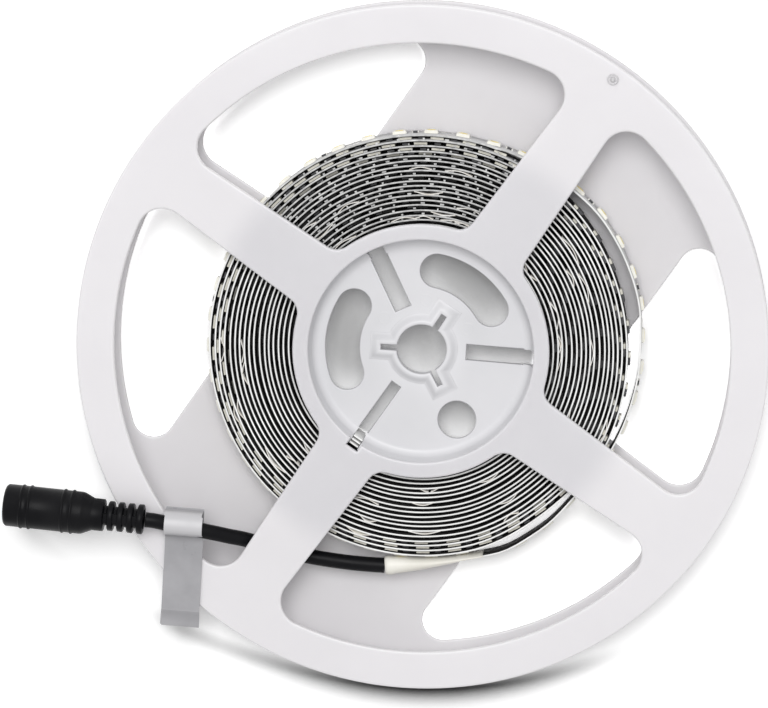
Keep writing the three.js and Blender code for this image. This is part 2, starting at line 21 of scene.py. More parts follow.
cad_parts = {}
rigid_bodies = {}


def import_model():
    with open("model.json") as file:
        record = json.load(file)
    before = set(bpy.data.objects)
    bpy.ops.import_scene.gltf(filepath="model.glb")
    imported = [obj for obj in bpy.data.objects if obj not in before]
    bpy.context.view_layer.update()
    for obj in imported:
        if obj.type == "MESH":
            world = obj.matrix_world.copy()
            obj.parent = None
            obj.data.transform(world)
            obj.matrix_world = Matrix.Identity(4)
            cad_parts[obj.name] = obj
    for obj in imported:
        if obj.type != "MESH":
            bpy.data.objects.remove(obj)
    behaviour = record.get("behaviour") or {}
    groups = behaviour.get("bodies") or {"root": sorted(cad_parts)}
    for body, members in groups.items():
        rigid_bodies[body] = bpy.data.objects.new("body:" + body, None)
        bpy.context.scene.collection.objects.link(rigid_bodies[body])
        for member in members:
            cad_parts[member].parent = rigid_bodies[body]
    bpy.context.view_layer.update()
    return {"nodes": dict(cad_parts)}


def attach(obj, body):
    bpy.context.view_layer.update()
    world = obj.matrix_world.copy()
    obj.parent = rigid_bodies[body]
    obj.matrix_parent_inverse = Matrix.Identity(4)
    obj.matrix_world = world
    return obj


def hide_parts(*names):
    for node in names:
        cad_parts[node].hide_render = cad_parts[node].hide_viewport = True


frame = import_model()
scene = bpy.context.scene
MM = 0.001
print("CAD nodes:", len(frame["nodes"]))

# %% [markdown]
# ## 1. The sizes
#
# These are the driving sizes of the real reel and strip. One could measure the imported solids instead, but
# a handful of named numbers is easier to read and to change. Each shape below is worked out from them, so
# that what is shown sits where the solids are.

# %% The driving sizes
FLANGE_RADIUS = 90
FLANGE_THICKNESS = 1.5
FLANGE_GAP = 11.2
RIM_WIDTH = 9.9
SPOKE_ANGLE = 55
SPOKE_WIDTH_AT_HUB = 17
SPOKE_WIDTH_AT_RIM = 14
WINDOW_RIM_FILLET = 6.5
WINDOW_HUB_FILLET = 4.5
BAND_WIDTH = 83
BAND_RIM_FILLET = 5.5
BAND_SPOKE_FILLET = 5
HUB_RADIUS = 31.2
HUB_WALL = 1.9
HUB_TO_WINDOW = 2.2
FLOOR_DEPTH = 5.5
FLOOR_THICKNESS = 1.8
FLOOR_EDGE_RADIUS = 27
ARBOR_RADIUS = 6.5
KEY_SLOT_WIDTH = 1.5
KEY_SLOT_REACH = 10.7
KEY_SLOT_ANGLES = (177, 57, -63)
BOSS_HEIGHT = 1.5
TAIL_SLOTS = ((115, 4.6), (-4, 4.2), (235, 2.9))
TAIL_SLOT_START = 11.7
KIDNEY_RADIUS = 20.8
KIDNEY_WIDTH = 9
KIDNEY_ANGLES = ((148, 199), (30, 79))
ROUND_HOLE_RADIUS = 5
ROUND_HOLE_AT = (20.9, -64)

STRIP_WIDTH = 8
STRIP_THICKNESS = 0.42
ROLL_OUTER_RADIUS = 56.2
ROLL_PITCH = 1.5
ROLL_INNER_FACE = 31.9
ROOT_ANGLE = 70
TAIL = (
    (-74.2, 1.3), (-68, 1.8), (-60, 1.2), (-54, 0.8), (-44, -0.3), (-35, -0.25), (-27, 0), (-14, 0.3),
    (-7, 0.6), (4, 1), (12, 1.7), (21, 1.9), (30, 2), (38, 2), (47, 1.4), (56, 0.9), (64, 0.5), (70, 0.25),
)
LED_FIRST_ANGLE = -63.4
LED_STEP_ANGLE = 8.4
LED_LENGTH, LED_WIDTH, LED_HEIGHT = 3.5, 2.8, 0.8

REEL_HEIGHT = 2 * FLANGE_THICKNESS + FLANGE_GAP
FRONT_BOTTOM = REEL_HEIGHT - FLANGE_THICKNESS
WINDOW_OUTER_RADIUS = FLANGE_RADIUS - RIM_WIDTH
FLANGE_HUB_RADIUS = HUB_RADIUS + HUB_TO_WINDOW
HUB_BORE_RADIUS = HUB_RADIUS - HUB_WALL
FLOOR_TOP = REEL_HEIGHT - FLOOR_DEPTH
FLOOR_BOTTOM = FLOOR_TOP - FLOOR_THICKNESS
STRIP_BOTTOM = FLANGE_THICKNESS
STRIP_TOP = STRIP_BOTTOM + STRIP_WIDTH
STRIP_MIDDLE = STRIP_BOTTOM + STRIP_WIDTH / 2
print("reel", 2 * FLANGE_RADIUS, "mm across and", REEL_HEIGHT, "mm high")

# %% [markdown]
# ## 2. The camera
#
# The photo looks nearly straight down on the reel, so a long lens stands far above it. A camera can be
# placed by eye in the viewport or worked out from points of the picture. Here both were used: the tilt,
# its direction, the distance and the small lens shift were chosen from how far the front rim is
# moved against the back one. The aim point and the lens then came from a least squares fit of the rim's
# circle, the hub's circle and the arbor hole.

# %% A long lens above the reel
TILT, AZIMUTH, DISTANCE = 12.0, 68.0, 1100.0
AIM = Vector((-9.4543, -20.9113, REEL_HEIGHT))
tilt, azimuth = math.radians(TILT), math.radians(AZIMUTH)
back = Vector((math.sin(tilt) * math.cos(azimuth), math.sin(tilt) * math.sin(azimuth), math.cos(tilt)))
right = Vector((0, 1, 0)).cross(back).normalized()
up = back.cross(right)
camera = bpy.data.objects.new("camera", bpy.data.cameras.new("camera"))
scene.collection.objects.link(camera)
scene.camera = camera
place = (AIM + back * DISTANCE) * MM
for row in range(3):
    camera.matrix_world[row] = (right[row], up[row], back[row], place[row])
camera.data.sensor_width = 36
camera.data.lens = 36 * 5.5034
camera.data.shift_y = 0.1
camera.data.clip_start, camera.data.clip_end = 0.05, 20
scene.view_settings.view_transform = "Standard"
print("camera at", [round(v, 4) for v in place], "lens", round(camera.data.lens, 1))

# %% [markdown]
# ## 3. Finishes, from shared node groups
#
# No real surface is of one even colour: moulded plastic has faint clouds in it and a fine grain, and they
# catch the light. Painted image maps could show that, but noise needs no image files and has no seams, so
# it is used for every finish here. What several finishes share is kept in node groups, which put out only
# masks, values and normals. The shaders themselves stay in each material.

# %% Node groups for grain and for a ring mask
def new_group(name, inputs, outputs):
    """A shader node group with float inputs (name, default) and outputs (name, socket type)."""
    group = bpy.data.node_groups.new(name, "ShaderNodeTree")
    for label, value in inputs:
        socket = group.interface.new_socket(name=label, in_out="INPUT", socket_type="NodeSocketFloat")
        socket.default_value = value
    for label, kind in outputs:
        group.interface.new_socket(name=label, in_out="OUTPUT", socket_type=kind)
    return group, group.nodes.new("NodeGroupInput"), group.nodes.new("NodeGroupOutput")


def add(tree, kind, **settings):
    """A node with its properties set, and inputs too where the keyword is an input's name."""
    node = tree.nodes.new(kind)
    for key, value in settings.items():
        label = key.replace("_", " ")
        if hasattr(node, key):
            setattr(node, key, value)
        else:
            node.inputs[label].default_value = value
    return node


FINE_SHARE = 0.35


def make_grain_group():
    """Tone and normal of a slightly uneven surface, from the object's own coordinates."""
    group, given, out = new_group(
        "grain",
        [("Patch Scale", 60), ("Grain Scale", 900), ("Strength", 0.1)],
        [("Tone", "NodeSocketFloat"), ("Normal", "NodeSocketVector")],
    )
    link = group.links.new
    where = add(group, "ShaderNodeTexCoord")
    patch = add(group, "ShaderNodeTexNoise", Detail=4.0)
    fine = add(group, "ShaderNodeTexNoise", Detail=6.0)
    bump = add(group, "ShaderNodeBump", Distance=0.0004)
    both = add(group, "ShaderNodeMath", operation="MULTIPLY_ADD")
    both.inputs[1].default_value = FINE_SHARE
    link(where.outputs["Object"], patch.inputs["Vector"])
    link(where.outputs["Object"], fine.inputs["Vector"])
    link(given.outputs["Patch Scale"], patch.inputs["Scale"])
    link(given.outputs["Grain Scale"], fine.inputs["Scale"])
    link(fine.outputs[0], both.inputs[0])
    link(patch.outputs[0], both.inputs[2])
    link(both.outputs[0], bump.inputs["Height"])
    link(given.outputs["Strength"], bump.inputs["Strength"])
    link(patch.outputs[0], out.inputs["Tone"])
    link(bump.outputs["Normal"], out.inputs["Normal"])
    return group


def make_radius_group():
    """0 inside one radius about the axis and 1 outside another, in metres."""
    group, given, out = new_group(
        "radius mask", [("From", 0.054), ("To", 0.058), ("Centre Y", 0)], [("Mask", "NodeSocketFloat")]
    )
    link = group.links.new
    where = add(group, "ShaderNodeTexCoord")
    centre = add(group, "ShaderNodeCombineXYZ")
    away = add(group, "ShaderNodeVectorMath", operation="SUBTRACT")
    flat = add(group, "ShaderNodeVectorMath", operation="MULTIPLY")
    flat.inputs[1].default_value = (1, 1, 0)
    length = add(group, "ShaderNodeVectorMath", operation="LENGTH")
    step = add(group, "ShaderNodeMapRange", interpolation_type="SMOOTHSTEP")
    link(given.outputs["Centre Y"], centre.inputs["Y"])
    link(where.outputs["Object"], away.inputs[0])
    link(centre.outputs["Vector"], away.inputs[1])
    link(away.outputs["Vector"], flat.inputs[0])
    link(flat.outputs["Vector"], length.inputs[0])
    link(length.outputs["Value"], step.inputs["Value"])
    link(given.outputs["From"], step.inputs["From Min"])
    link(given.outputs["To"], step.inputs["From Max"])
    link(step.outputs["Result"], out.inputs["Mask"])
    return group


GRAIN = make_grain_group()
RADIUS = make_radius_group()
print("node groups:", GRAIN.name, "and", RADIUS.name)

# %% [markdown]
# ## 4. One helper for all finishes
#
# The helper makes a Principled surface whose colour wanders between two close tones and whose roughness
# wanders with it, as on a part that has been handled. Smaller helpers mix and rescale values. Building each
# material by hand in the editor works as well. A helper was chosen since nearly twenty finishes differ only
# in a few numbers.

# %% The helper that makes a finish
TONE_LOW, TONE_HIGH = 0.3, 0.7


def grouped(tree, group, **values):
    """A node that holds a group, with its inputs set by name."""
    node = tree.nodes.new("ShaderNodeGroup")
    node.node_tree = group
    for key, value in values.items():
        node.inputs[key.replace("_", " ")].default_value = value
    return node


def mixed(tree, factor, first, second, blend="MIX"):
    """A colour mix. Each of the three may be a value or another node's socket."""
    node = add(tree, "ShaderNodeMix", data_type="RGBA", blend_type=blend)
    for socket, value in zip((node.inputs[0], node.inputs[6], node.inputs[7]), (factor, first, second)):
        if isinstance(value, bpy.types.NodeSocket):
            tree.links.new(value, socket)
        elif socket.type == "RGBA":
            socket.default_value = (*value, 1)
        else:
            socket.default_value = value
    return node.outputs[2]


def ranged(tree, source, from_min, from_max, to_min, to_max, kind="LINEAR"):
    """A Map Range of a socket, whose four limits may be values or sockets."""
    node = add(tree, "ShaderNodeMapRange", interpolation_type=kind)
    tree.links.new(source, node.inputs["Value"])
    limits = {"From Min": from_min, "From Max": from_max, "To Min": to_min, "To Max": to_max}
    for label, value in limits.items():
        if isinstance(value, bpy.types.NodeSocket):
            tree.links.new(value, node.inputs[label])
        else:
            node.inputs[label].default_value = value
    return node.outputs["Result"]


def finish(name, light, dark, roughness, patch=60, grain=900, strength=0.08, wear=0.08, **extra):
    """A surface between two close colours, with grain. Returns the material, its tree and its shader."""
    made = bpy.data.materials.new(name)
    made.use_nodes = True
    tree = made.node_tree
    shader = tree.nodes["Principled BSDF"]
    uneven = grouped(tree, GRAIN, Patch_Scale=patch, Grain_Scale=grain, Strength=strength)
    tone = ranged(tree, uneven.outputs["Tone"], TONE_LOW, TONE_HIGH, 0, 1)
    rough = ranged(tree, tone, 0, 1, max(roughness - wear, 0.05), min(roughness + wear, 1))
    tree.links.new(mixed(tree, tone, dark, light), shader.inputs["Base Color"])
    tree.links.new(rough, shader.inputs["Roughness"])
    tree.links.new(uneven.outputs["Normal"], shader.inputs["Normal"])
    for label, value in extra.items():
        shader.inputs[label.replace("_", " ")].default_value = value
    return made, tree, shader


def colour_source(shader):
    """The socket that gives a shader its colour."""
    return shader.inputs["Base Color"].links[0].from_socket


def ring_painted_shading(tree, shader, tone, start, end):
    """Multiplies the colour inside a radius by a tone: below 1 it paints shade, as where the dark roll lies
    behind translucent plastic, and above 1 it paints light.
    """
    ring = grouped(tree, RADIUS, From=start * MM, To=end * MM)
    shade = mixed(tree, ring.outputs["Mask"], tone, (1, 1, 1))
    tree.links.new(mixed(tree, 1.0, colour_source(shader), shade, "MULTIPLY"), shader.inputs["Base Color"])


print("helpers ready: grouped, mixed, ranged, finish, colour_source and ring_painted_shading")

# %% [markdown]
# ## 5. The plastic and the strip
#
# The reel is thin white styrene, which lets light in: the wound strip shows through it as a darker ring,
# and the edges look soft. Glass-like transmission would show that too, but it renders slowly and noisily,
# so the light's spread inside the flanges is left to subsurface scattering, and the darker ring is painted
# shade, a mask by radius. The back flange is painted a little darker than the front one, as painted shade.
# The hub is of the same plastic, but it is put together from several meshes, and where they meet,
# subsurface scattering drew dark lines. So it has none, and round the arbor its colour is painted lighter,
# as painted light on the boss. The strip is a flexible circuit whose cut edges are white. Its inner face
# and the outer faces of its inner turns are painted near black, as painted shade in the narrow gaps. In the
# top window the edges are painted darker, as painted shade, as in the photo.

# %% Plastic and strip finishes
STYRENE = {"Subsurface_Weight": 0.6, "Subsurface_Radius": (1, 1, 1), "Subsurface_Scale": 0.0025}
FRONT_PLASTIC, tree, shader = finish(
    "front_plastic", (0.755, 0.74, 0.757), (0.73, 0.715, 0.733), 0.36, patch=25, grain=500, strength=0.05,
    **STYRENE
)
# Painted shade: the front flange is darker inside the roll's radius, where the dark roll lies behind it.
ring_painted_shading(tree, shader, (0.88, 0.885, 0.895), 51, 61)
# The back flange is the same plastic as the front one, painted darker as painted shade.
BACK_PLASTIC_PAINTED_SHADE = finish(
    "back_plastic_painted_shade", (0.70, 0.685, 0.70), (0.67, 0.655, 0.67), 0.4, patch=25, grain=500, strength=0.05,
    **STYRENE
)[0]
HUB_PLASTIC, tree, shader = finish(
    "hub_plastic", (0.67, 0.665, 0.685), (0.62, 0.62, 0.638), 0.4, patch=45, grain=300, strength=0.06
)
# Painted light: the hub's colour is a little lighter round the arbor, where the boss catches the light.
ring_painted_shading(tree, shader, (1.05, 1.05, 1.05), 8.5, 14.5)
STRIP_EDGE = finish(
    "strip_edge", (0.98, 0.98, 0.97), (0.80, 0.80, 0.79), 0.5, patch=160, grain=2500, strength=0.1
)[0]
# A darker copy of the edge finish: painted shade on the strip's edges in the top window, and the pale tone of
# the solder specks, which is a painted glint.
EDGE_SHADE_AND_GLINT = finish(
    "strip_edge_painted_shade_and_glint", (0.74, 0.74, 0.73), (0.40, 0.40, 0.40), 0.6, patch=700, grain=2500, strength=0.1
)[0]
STRIP_FACE, tree, shader = finish(
    "strip_face", (0.62, 0.62, 0.62), (0.50, 0.50, 0.50), 0.6, patch=200, grain=2500, strength=0.1,
    Specular_IOR_Level=0.08
)
# Painted shade: the strip's outer face is near black inside the outermost turn, as in the narrow gaps.
ring_painted_shading(tree, shader, (0.02, 0.019, 0.02), 54.4, 54.9)
# The strip's inner face is painted near black, as painted shade in the narrow gaps; the dark sheet between
# the turns uses it too.
STRIP_BACK_PAINTED_SHADE = finish(
    "strip_back_painted_shade", (0.03, 0.029, 0.028), (0.012, 0.011, 0.011), 0.6, patch=200, grain=2500, strength=0.1,
    Specular_IOR_Level=0.08
)[0]
print("finishes so far:", len(bpy.data.materials))

# %% [markdown]
# ## 6. Outlines
#
# A moulded part starts as a drawing of its outlines. They are written here as lists of points, from arcs
# and straight runs. Bevel modifiers on a simple mesh would be quicker to set up, but they falter at sharp
# inner corners, so each outline is moved inwards by its own rule. Each is held with the material on its
# left, so that one inset rounds the outer edge and the edges of the windows alike.

# %% Arcs, turns and insets
def polar(radius, angle, z=None):
    """The point at a radius and an angle, with a height where one is given."""
    a = math.radians(angle)
    flat = (radius * math.cos(a), radius * math.sin(a))
    return flat if z is None else (*flat, z)


def arc(centre, radius, start, end, step):
    """Points from one angle to another, about a step apart."""
    count = max(1, round(abs(end - start) / step))
    turns = np.radians(np.linspace(start, end, count + 1))
    return [(centre[0] + radius * math.cos(t), centre[1] + radius * math.sin(t)) for t in turns]


def circle(radius, step=2, centre=(0, 0)):
    """A whole circle, without its first point repeated at the end."""
    return arc(centre, radius, 0, 360, step)[:-1]


def whole_turn(count):
    """Angles in radians, evenly spread over a whole turn."""
    return np.linspace(0, 2 * math.pi, count, endpoint=False)


def angle_of(point):
    """The angle at which a point lies, in degrees."""
    return math.degrees(math.atan2(point[1], point[0]))


def turned_outline(outline, angle):
    """The outline turned about the axis."""
    c, s = math.cos(math.radians(angle)), math.sin(math.radians(angle))
    return [(x * c - y * s, x * s + y * c) for x, y in outline]


def eased(t):
    """Goes from 0 to 1 with a soft start and a soft end."""
    return t * t * (3 - 2 * t)


def oriented(loop, anticlockwise):
    """The loop as an array, turned to run the way that is asked for."""
    p = np.array(loop, float)
    q = np.roll(p, -1, 0)
    area = float((p[:, 0] * q[:, 1] - p[:, 1] * q[:, 0]).sum())
    return p if (area > 0) == anticlockwise else p[::-1]


def inset(loop, depth):
    """The loop moved to its left by a depth."""
    before = loop - np.roll(loop, 1, 0)
    after = np.roll(loop, -1, 0) - loop
    before /= np.linalg.norm(before, axis=1)[:, None]
    after /= np.linalg.norm(after, axis=1)[:, None]
    left = np.c_[-before[:, 1], before[:, 0]] + np.c_[-after[:, 1], after[:, 0]]
    return loop + depth * left / (1 + (before * after).sum(1))[:, None]


print("inset test:", inset(oriented([(0, 0), (4, 0), (4, 4), (0, 4)], True), 1).tolist())

# %% [markdown]
# ## 7. From outlines to meshes
#
# A flange is a plate with rounded edges, and most other parts are a skin drawn through a row of cross
# sections, as a lathe, a wound band or a bent tape gives. Blender's own extrude and screw tools make such
# shapes too. Plain lists of points were chosen, because each face can then be given its own material and
# smoothing at once.

# %% Plates, skins and boxes
def mesh_piece(name, data, materials, index=None):
    """A piece from (vertices in millimetres, faces, smooth flags). index gives each face its material."""
    verts, faces, smooth = data
    mesh = bpy.data.meshes.new(name)
    mesh.from_pydata([(x * MM, y * MM, z * MM) for x, y, z in verts], [], faces)
    for material in materials:
        mesh.materials.append(material)
    mesh.polygons.foreach_set("use_smooth", smooth)
    if index is not None:
        mesh.polygons.foreach_set("material_index", index)
    mesh.update()
    made = bpy.data.objects.new(name, mesh)
    scene.collection.objects.link(made)
    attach(made, "root")
    return made


def plate_data(outlines, bottom, top, round_top, round_bottom, steps=4):
    """Vertices, faces and smooth flags of a plate with rounded edges; the first outline is the outside."""
    loops = [oriented(loop, i == 0) for i, loop in enumerate(outlines)]
    section = []
    for k in range(steps + 1):
        a = math.pi / 2 * k / steps
        section.append((round_bottom * (1 - math.sin(a)), bottom + round_bottom * (1 - math.cos(a))))
    for k in range(steps + 1):
        a = math.pi / 2 * k / steps
        section.append((round_top * (1 - math.cos(a)), top - round_top * (1 - math.sin(a))))
    verts, faces, smooth = [], [], []
    low_cap, high_cap = [], []
    for loop in loops:
        n, start = len(loop), len(verts)
        for depth, z in section:
            verts += [(x, y, z) for x, y in inset(loop, depth)]
        for s in range(len(section) - 1):
            a, b = start + s * n, start + (s + 1) * n
            faces += [(a + i, a + (i + 1) % n, b + (i + 1) % n, b + i) for i in range(n)]
            smooth += [True] * n
        low_cap.append(range(start, start + n))
        high_cap.append(range(start + (len(section) - 1) * n, start + len(section) * n))
    for rings, upward in ((low_cap, False), (high_cap, True)):
        ids = [i for ring in rings for i in ring]
        for tri in tessellate_polygon([[Vector(verts[i]) for i in ring] for ring in rings]):
            p, q, r = (Vector(verts[ids[k]]) for k in tri)
            corner = [ids[k] for k in tri]
            if ((q - p).cross(r - p).z > 0) != upward:
                corner.reverse()
            faces.append(tuple(corner))
            smooth.append(False)
    return verts, faces, smooth


def joined(*parts):
    """Several (vertices, faces, smooth) sets as one."""
    verts, faces, smooth = [], [], []
    for v, f, s in parts:
        start = len(verts)
        verts += list(v)
        faces += [tuple(i + start for i in face) for face in f]
        smooth += list(s)
    return verts, faces, smooth


def swept(sections, closed=False, capped=True, smooth=True):
    """A skin through closed sections of equal length, given so that it faces outward."""
    n, count = len(sections[0]), len(sections)
    verts = [tuple(p) for section in sections for p in section]
    faces = []
    for s in range(count if closed else count - 1):
        a, b = s * n, ((s + 1) % count) * n
        faces += [(a + i, a + (i + 1) % n, b + (i + 1) % n, b + i) for i in range(n)]
    flags = [smooth] * len(faces)
    if capped and not closed:
        faces += [tuple(range(n))[::-1], tuple(range((count - 1) * n, count * n))]
        flags += [False, False]
    return verts, faces, flags


def sector(profile, start, end, step=2):
    """A [radius, height] profile swept about the axis between two angles."""
    count = max(1, round(abs(end - start) / step))
    whole = abs(end - start) >= 360
    angles = np.linspace(start, end, count + 1)[: -1 if whole else None]
    return swept([[polar(r, a, z) for r, z in profile] for a in angles], closed=whole, smooth=False)


def boxed(centre, size, angle=0.0):
    """A plain box, turned about the vertical."""
    hx, hy, hz = (v / 2 for v in size)
    c, s = math.cos(math.radians(angle)), math.sin(math.radians(angle))
    verts = []
    for dz in (-hz, hz):
        for dx, dy in ((-hx, -hy), (hx, -hy), (hx, hy), (-hx, hy)):
            verts.append((centre[0] + dx * c - dy * s, centre[1] + dx * s + dy * c, centre[2] + dz))
    faces = [(3, 2, 1, 0), (4, 5, 6, 7), (0, 1, 5, 4), (1, 2, 6, 5), (2, 3, 7, 6), (3, 0, 4, 7)]
    return verts, faces, [False] * 6


print("plate test:", len(plate_data([circle(5), circle(2)], 0, 1, 0.2, 0.2)[1]), "faces")

# %% [markdown]
# ## 8. The windows of the flanges
#
# The real flanges have large windows that save plastic and show the strip. Both have the same windows in
# rim and spokes. The front one has four spokes; on the back one a wide band across the middle takes the
# place of two of them. Cutting holes with booleans would give ragged edges to round, so the windows are
# inner outlines of the plate from the start.

# %% Window outlines
def spoke_edge():
    """The spoke's straight edge as the angle of its normal and its distance from the axis."""
    hub_half, rim_half = SPOKE_WIDTH_AT_HUB / 2, SPOKE_WIDTH_AT_RIM / 2
    slope = math.atan2(rim_half - hub_half, WINDOW_OUTER_RADIUS - FLANGE_HUB_RADIUS)
    distance = hub_half * math.cos(slope) - FLANGE_HUB_RADIUS * math.sin(slope)
    return 90 + math.degrees(slope), distance


def fillet_centre(normal, distance, side, fillet, circle_radius):
    """The centre of a fillet that touches a straight edge and has its centre on a circle."""
    across = distance + fillet
    along = math.sqrt(circle_radius**2 - across**2)
    a, b = polar(across, normal), polar(along, normal - 90 * side)
    return a[0] + b[0], a[1] + b[1]


def front_window():
    """The window between the spokes at 0 and 90 degrees."""
    normal, distance = spoke_edge()
    other = 90 - normal
    rim, hub = WINDOW_OUTER_RADIUS - WINDOW_RIM_FILLET, FLANGE_HUB_RADIUS + WINDOW_HUB_FILLET
    rim_a = fillet_centre(normal, distance, 1, WINDOW_RIM_FILLET, rim)
    rim_b = fillet_centre(other, distance, -1, WINDOW_RIM_FILLET, rim)
    hub_b = fillet_centre(other, distance, -1, WINDOW_HUB_FILLET, hub)
    hub_a = fillet_centre(normal, distance, 1, WINDOW_HUB_FILLET, hub)
    return [
        *arc(rim_a, WINDOW_RIM_FILLET, normal - 180, angle_of(rim_a), 6),
        *arc((0, 0), WINDOW_OUTER_RADIUS, angle_of(rim_a), angle_of(rim_b), 1.5)[1:-1],
        *arc(rim_b, WINDOW_RIM_FILLET, angle_of(rim_b), other + 180, 6),
        *arc(hub_b, WINDOW_HUB_FILLET, other + 180, angle_of(hub_b) + 180, 6),
        *arc((0, 0), FLANGE_HUB_RADIUS, angle_of(hub_b), angle_of(hub_a), 2)[1:-1],
        *arc(hub_a, WINDOW_HUB_FILLET, angle_of(hub_a) + 180, normal + 180, 6),
    ]


def back_window():
    """The window between the spoke at 90 degrees and the band along X."""
    normal, distance = spoke_edge()
    rim_a = fillet_centre(normal, distance, 1, WINDOW_RIM_FILLET, WINDOW_OUTER_RADIUS - WINDOW_RIM_FILLET)
    rim_b = fillet_centre(0, BAND_WIDTH / 2, -1, BAND_RIM_FILLET, WINDOW_OUTER_RADIUS - BAND_RIM_FILLET)
    corner_x = BAND_WIDTH / 2 + BAND_SPOKE_FILLET
    slope = math.radians(normal - 90)
    corner = (corner_x, (distance + BAND_SPOKE_FILLET) / math.cos(slope) + corner_x * math.tan(slope))
    return [
        *arc(rim_a, WINDOW_RIM_FILLET, normal - 180, angle_of(rim_a), 6),
        *arc((0, 0), WINDOW_OUTER_RADIUS, angle_of(rim_a), angle_of(rim_b), 1.5)[1:-1],
        *arc(rim_b, BAND_RIM_FILLET, angle_of(rim_b), 180, 6),
        *arc(corner, BAND_SPOKE_FILLET, 180, normal + 180, 6),
    ]


front_windows = [turned_outline(front_window(), SPOKE_ANGLE + 90 * i) for i in range(4)]
back_windows = []
for side in (90, -90):
    outline = back_window()
    mirrored = [(x, -y) for x, y in outline]
    back_windows += [turned_outline(each, SPOKE_ANGLE + side) for each in (outline, mirrored)]

NOTCH_ANGLE, NOTCH_HALF_WIDTH, NOTCH_RADIUS = 235, 1.75, 31.4


def opening_with_notch():
    """The hub's opening in the front flange, with a small notch for the strip's inner end."""
    spread = math.degrees(math.asin(NOTCH_HALF_WIDTH / HUB_BORE_RADIUS))
    reach = math.degrees(math.asin(NOTCH_HALF_WIDTH / NOTCH_RADIUS))
    points = arc((0, 0), HUB_BORE_RADIUS, NOTCH_ANGLE + spread, NOTCH_ANGLE + 360 - spread, 2)
    points += arc((0, 0), NOTCH_RADIUS, NOTCH_ANGLE - reach, NOTCH_ANGLE + reach, 2)
    return points


print("windows:", len(front_windows), "in front and", len(back_windows), "behind")

# %% [markdown]
# ## 9. The two flanges
#
# Each flange is one moulding 1.5 mm thick. Its edges are rounded a little by the tool, and that thin
# highlight along every edge is what makes plastic look moulded, so it is built into the mesh and not left
# to shading.

# %% Front and back flange
front = plate_data([circle(FLANGE_RADIUS, 1.5), opening_with_notch(), *front_windows],
                   FRONT_BOTTOM, REEL_HEIGHT, 0.55, 0.35, 5)
front_flange = mesh_piece("front_flange", front, [FRONT_PLASTIC])
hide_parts("reel_front_half")
back_plate = plate_data([circle(FLANGE_RADIUS, 1.5), circle(HUB_BORE_RADIUS), *back_windows],
                        0, FLANGE_THICKNESS, 0.45, 0.45, 5)
back_flange = mesh_piece("back_flange", back_plate, [BACK_PLASTIC_PAINTED_SHADE])
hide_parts("reel_back_half")
print("flanges:", len(front[1]), "and", len(back_plate[1]), "faces")

# %% [markdown]
# ## 10. The hub's outlines
#
# The hub's wall slopes a little, so that the moulding leaves its tool, and meets the floor in a cove. It
# is cut right through at the three slots that take the strip's inner end, so the wall is made as three
# sectors. The floor has an arbor hole with three key slots, two kidney holes and a round one for drive
# pegs.

# %% Wall, floor and hole outlines
slot_cuts = sorted((angle % 360, math.degrees(math.asin(width / 2 / HUB_BORE_RADIUS)), width)
                   for angle, width in TAIL_SLOTS)
COVE = 2.1
WALL_FOOT_RADIUS = FLOOR_EDGE_RADIUS - 0.3
FLOOR_OUTER_RADIUS = FLOOR_EDGE_RADIUS + 0.5
cove = [(WALL_FOOT_RADIUS + COVE * math.sin(a), FLOOR_TOP + COVE * (1 - math.cos(a)))
        for a in np.radians(np.linspace(75, 0, 8))]
wall_profile = [
    (HUB_RADIUS, 0), (HUB_RADIUS, FRONT_BOTTOM), (HUB_BORE_RADIUS, FRONT_BOTTOM), *cove,
    (WALL_FOOT_RADIUS, FLOOR_BOTTOM), (HUB_BORE_RADIUS, FLOOR_BOTTOM), (HUB_BORE_RADIUS, 0),
]
walls = []
for i, (angle, half, _) in enumerate(slot_cuts):
    following = slot_cuts[(i + 1) % 3]
    start = angle + half
    end = following[0] + (360 if i == 2 else 0) - following[1]
    walls.append(sector(wall_profile, start, end, 2))

floor_outer = []
for i, (angle, half, width) in enumerate(slot_cuts):
    inner = math.degrees(math.asin(width / 2 / TAIL_SLOT_START))
    outer = math.degrees(math.asin(width / 2 / FLOOR_OUTER_RADIUS))
    following = slot_cuts[(i + 1) % 3]
    following_outer = math.degrees(math.asin(following[2] / 2 / FLOOR_OUTER_RADIUS))
    floor_outer += [polar(TAIL_SLOT_START, angle - inner), polar(TAIL_SLOT_START, angle + inner)]
    floor_outer += arc((0, 0), FLOOR_OUTER_RADIUS, angle + outer,
                       following[0] + (360 if i == 2 else 0) - following_outer, 2)


def keyed(grow=0.0, radius=ARBOR_RADIUS, reach=KEY_SLOT_REACH, width=KEY_SLOT_WIDTH, count=24):
    """The arbor hole's outline with its three key slots, moved outward; always as many points."""
    points = []
    radius, reach, width = radius + grow, reach + grow, width + 2 * grow
    spread = math.degrees(math.asin(width / 2 / radius))
    lobes = sorted(a % 360 for a in KEY_SLOT_ANGLES)
    for i, angle in enumerate(lobes):
        points += turned_outline([(reach, -width / 2), (reach, width / 2)], angle)
        following = lobes[(i + 1) % 3] + (360 if i == 2 else 0)
        points += [polar(radius, a) for a in np.linspace(angle + spread, following - spread, count)]
    return points


def kidney(start, end):
    """A slot bent about the axis, with round ends."""
    half = KIDNEY_WIDTH / 2
    return [
        *arc((0, 0), KIDNEY_RADIUS + half, start, end, 3),
        *arc(polar(KIDNEY_RADIUS, end), half, end, end + 180, 8)[1:-1],
        *arc((0, 0), KIDNEY_RADIUS - half, end, start, 3),
        *arc(polar(KIDNEY_RADIUS, start), half, start + 180, start + 360, 8)[1:-1],
    ]


print("hub outline:", len(walls), "wall sectors and", len(keyed()), "points round the arbor")

# %% [markdown]
# ## 11. The hub's wall, floor and boss
#
# A raised boss goes round the arbor hole and its key slots. On the real reel it has no sharp foot: it
# rises out of the floor in a soft slope. That slope is a stack of the hole's own outline, grown step by
# step. A bevel would give the same, but this keeps an equal count of points on every level, which the
# skin helper needs.

